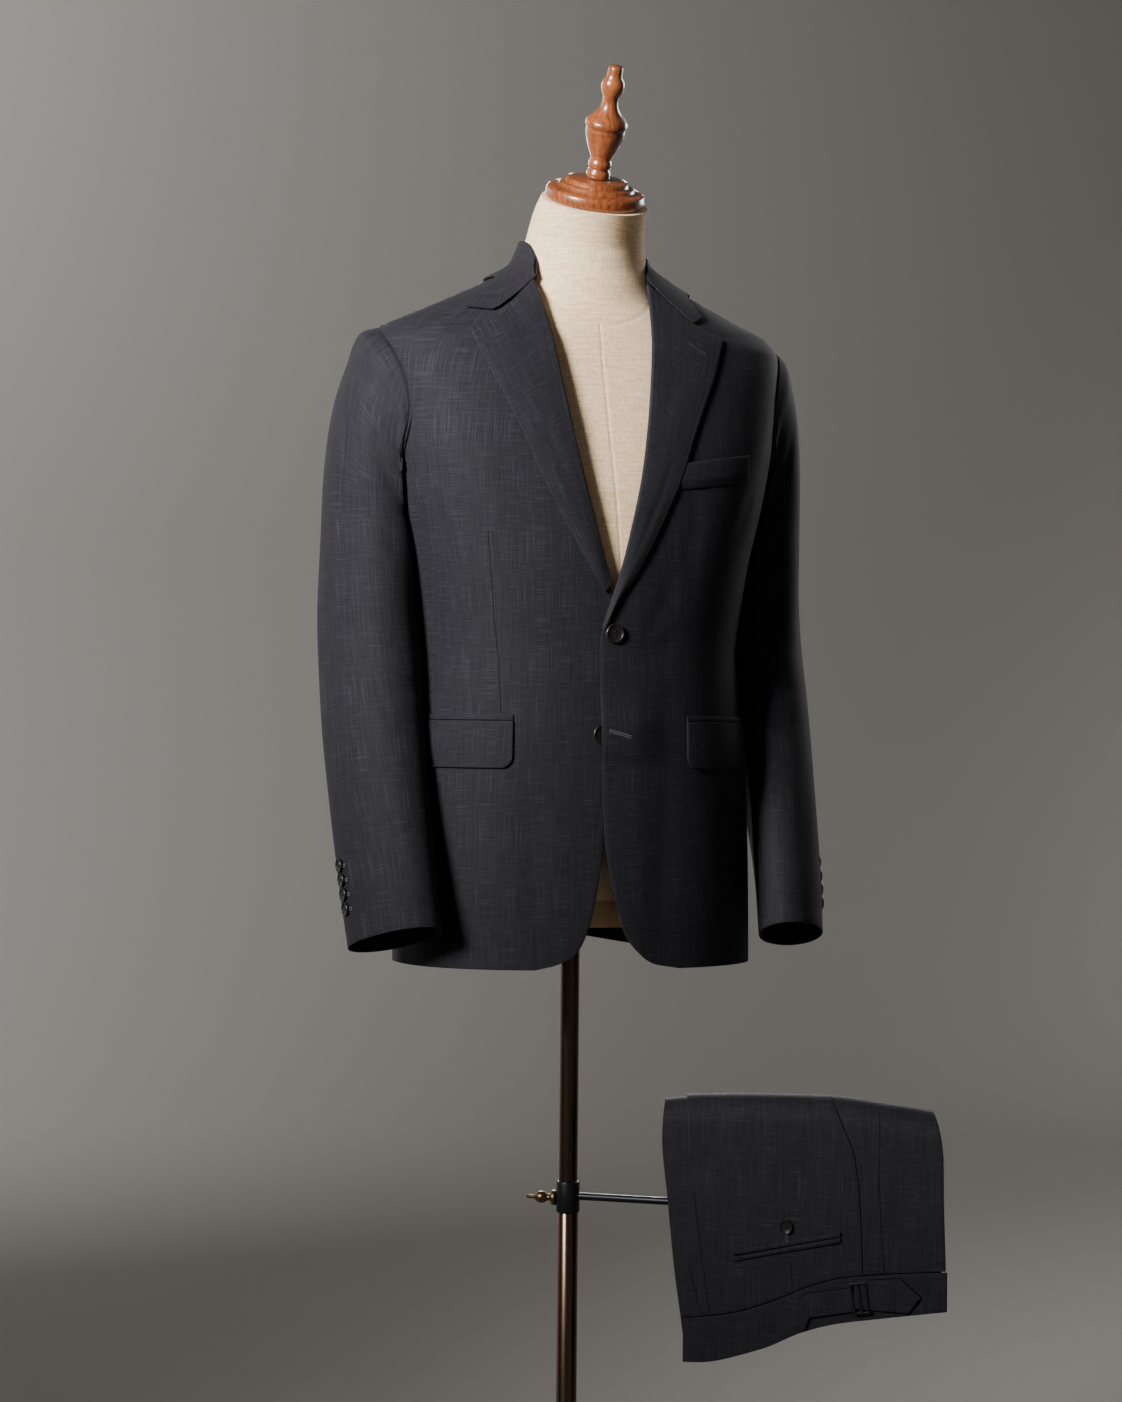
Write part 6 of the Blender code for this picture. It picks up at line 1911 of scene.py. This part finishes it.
band = band_surface(waist_edge, lambda u: waist_seam(u) - SEAM / 2, WAISTBAND_LEFT,
                    WAISTBAND_RIGHT, WAISTBAND_LIFT)
outline = [pair for row in (STRAP_TOP, STRAP_LOW, TAB_TOP, TAB_LOW)
           for pair in zip(row, row[1:])]
waistband_wool = worsted("waistband_wool", outline)     # shadow line round the strap and tab
shell("waistband_cloth", band, 110, 18, ("trouser_waistband",), pressed=BAND_CREASES,
      look=waistband_wool, thick=0.0024, chart=plane_chart(band), body="arm",
      rim=0.0008)

# %% Back pocket and side adjuster
pocket_line = polyline(POCKET_LINE)


def jet_surface(low, sag):
    """One jet of the back pocket; its mouth edge may sag open near the left end."""

    def surface(s, t):
        u = mix(POCKET_LEFT, POCKET_RIGHT, s)
        open_here = sag * math.exp(-((s - 0.22) / 0.16) ** 2) * t
        full = 0.0006 * math.sin(math.pi * min(max(t, 0.02), 0.98))
        return along_arm(u, FRONT_FACE + ON_PANEL + JET_THICK + full,
                         pocket_line(u) + low + POCKET_JET * t - open_here)

    return surface


SEWN_FULL = 0.0012          # strap and tab stand this much fuller than their solids
lift = WAISTBAND_LIFT + ON_PANEL + STRAP_THICK + SEWN_FULL
strap = band_surface(polyline(STRAP_LOW), polyline(STRAP_TOP), *STRAP_ENDS, lift)
tab = band_surface(polyline(TAB_LOW), polyline(TAB_TOP), *TAB_ENDS, lift)
for name, surface, cols, rows, thick in (
        ("pocket_jet_upper", jet_surface(SEAM / 2, 0.0), 50, 6, 0.0012),
        ("pocket_jet_lower", jet_surface(-SEAM / 2 - POCKET_JET, 0.0013), 50, 6, 0.0012),
        ("adjuster_strap", strap, 60, 10, 0.0016), ("adjuster_tab", tab, 60, 10, 0.0016)):
    shell(f"{name}_cloth", surface, cols, rows, (name,), thick=thick, chart=plane_chart(surface),
          body="arm", rim=0.0004)

POCKET_BUTTON_RADIUS, POCKET_BUTTON_THICK = 0.0072, 0.0028
facing = along_arm(0.0, 1.0, 0.0)
seat = along_arm(POCKET_BUTTON.u, FRONT_FACE + ON_PANEL, POCKET_BUTTON.height)
bars = button("pocket_button_horn", POCKET_BUTTON_RADIUS, POCKET_BUTTON_THICK, seat, facing,
              "arm", "pocket_button")
stitches("pocket_button_thread", bars, button_thread, 0.0008, "arm")

# %% Stitches of the trousers
sewn = []
for surface, low, high in ((strap, 0.14, 0.86), (tab, 0.12, 0.88)):
    for t in (low, high):
        sewn += along_edge(surface, lambda u, t=t: (mix(0.08, 0.95, u), t), 1, 0.0032, 0.0016)
top = along_arm(POCKET_BUTTON.u, FRONT_FACE + 0.0006, POCKET_BUTTON.height + 0.0085)
low = along_arm(POCKET_BUTTON.u + 0.0008, FRONT_FACE + 0.0006,
                pocket_line(POCKET_BUTTON.u) + 0.0066)
stitches("trouser_stitches", sewn, silk_thread, 0.0006, "arm")
stitches("pocket_buttonhole", worked_hole(low, top, facing), hole_thread, 0.0007, "arm")

# %% [markdown]
# ## Buckle of the side adjuster
# The buckle is a flat pressed slide with two slots. A grid gives its plan, the two slot faces
# are deleted, the rest is thickened with an extrusion and its edges are rounded with a bevel.

# %% Buckle
half, tall = BUCKLE_WIDE / 2, BUCKLE_TALL / 2
xs = (-half, -half + BUCKLE_BAR, -BUCKLE_BAR / 2, BUCKLE_BAR / 2, half - BUCKLE_BAR, half)
ys = (-tall, -tall + BUCKLE_BAR, tall - BUCKLE_BAR, tall)
bm = bmesh.new()
bmesh.ops.create_grid(bm, x_segments=5, y_segments=3, size=0.5)
slots = []
for face in bm.faces:
    middle = face.calc_center_median()
    if abs(middle.y) < 0.1 and 0.1 < abs(middle.x) < 0.3:
        slots.append(face)
for vert in bm.verts:
    vert.co.x, vert.co.y = xs[round((vert.co.x + 0.5) * 5)], ys[round((vert.co.y + 0.5) * 3)]
bmesh.ops.delete(bm, geom=slots, context="FACES")
raised = bmesh.ops.extrude_face_region(bm, geom=bm.faces[:])["geom"]
bmesh.ops.translate(bm, vec=(0, 0, BUCKLE_THICK),
                    verts=[item for item in raised if isinstance(item, bmesh.types.BMVert)])
bmesh.ops.recalc_face_normals(bm, faces=bm.faces[:])
corners = [edge for edge in bm.edges if edge.calc_face_angle(0.0) > 0.8]
bmesh.ops.bevel(bm, geom=corners, offset=0.00045, segments=3, profile=0.5, affect="EDGES",
                material=-1)
out = WAISTBAND_LIFT + 2 * ON_PANEL + STRAP_THICK
place = (Matrix.Translation(along_arm(BUCKLE_U, FRONT_FACE + out, BUCKLE_HEIGHT))
         @ Matrix.Rotation(ARM_TURN, 4, "Z") @ Matrix.Rotation(-BUCKLE_TILT, 4, "Y")
         @ Matrix.Rotation(math.pi / 2, 4, "X"))
bmesh.ops.transform(bm, matrix=place, verts=bm.verts[:])
buckle = finished("adjuster_buckle_metal", bm, black_satin, "arm",
                  ("adjuster_buckle",))
keep_sharp(buckle, 50)
print("buckle faces", len(buckle.data.polygons))

# %% [markdown]
# ## Last step
# The view layer is brought up to date, so that every piece stands in its place.

# %% Finish
bpy.context.view_layer.update()
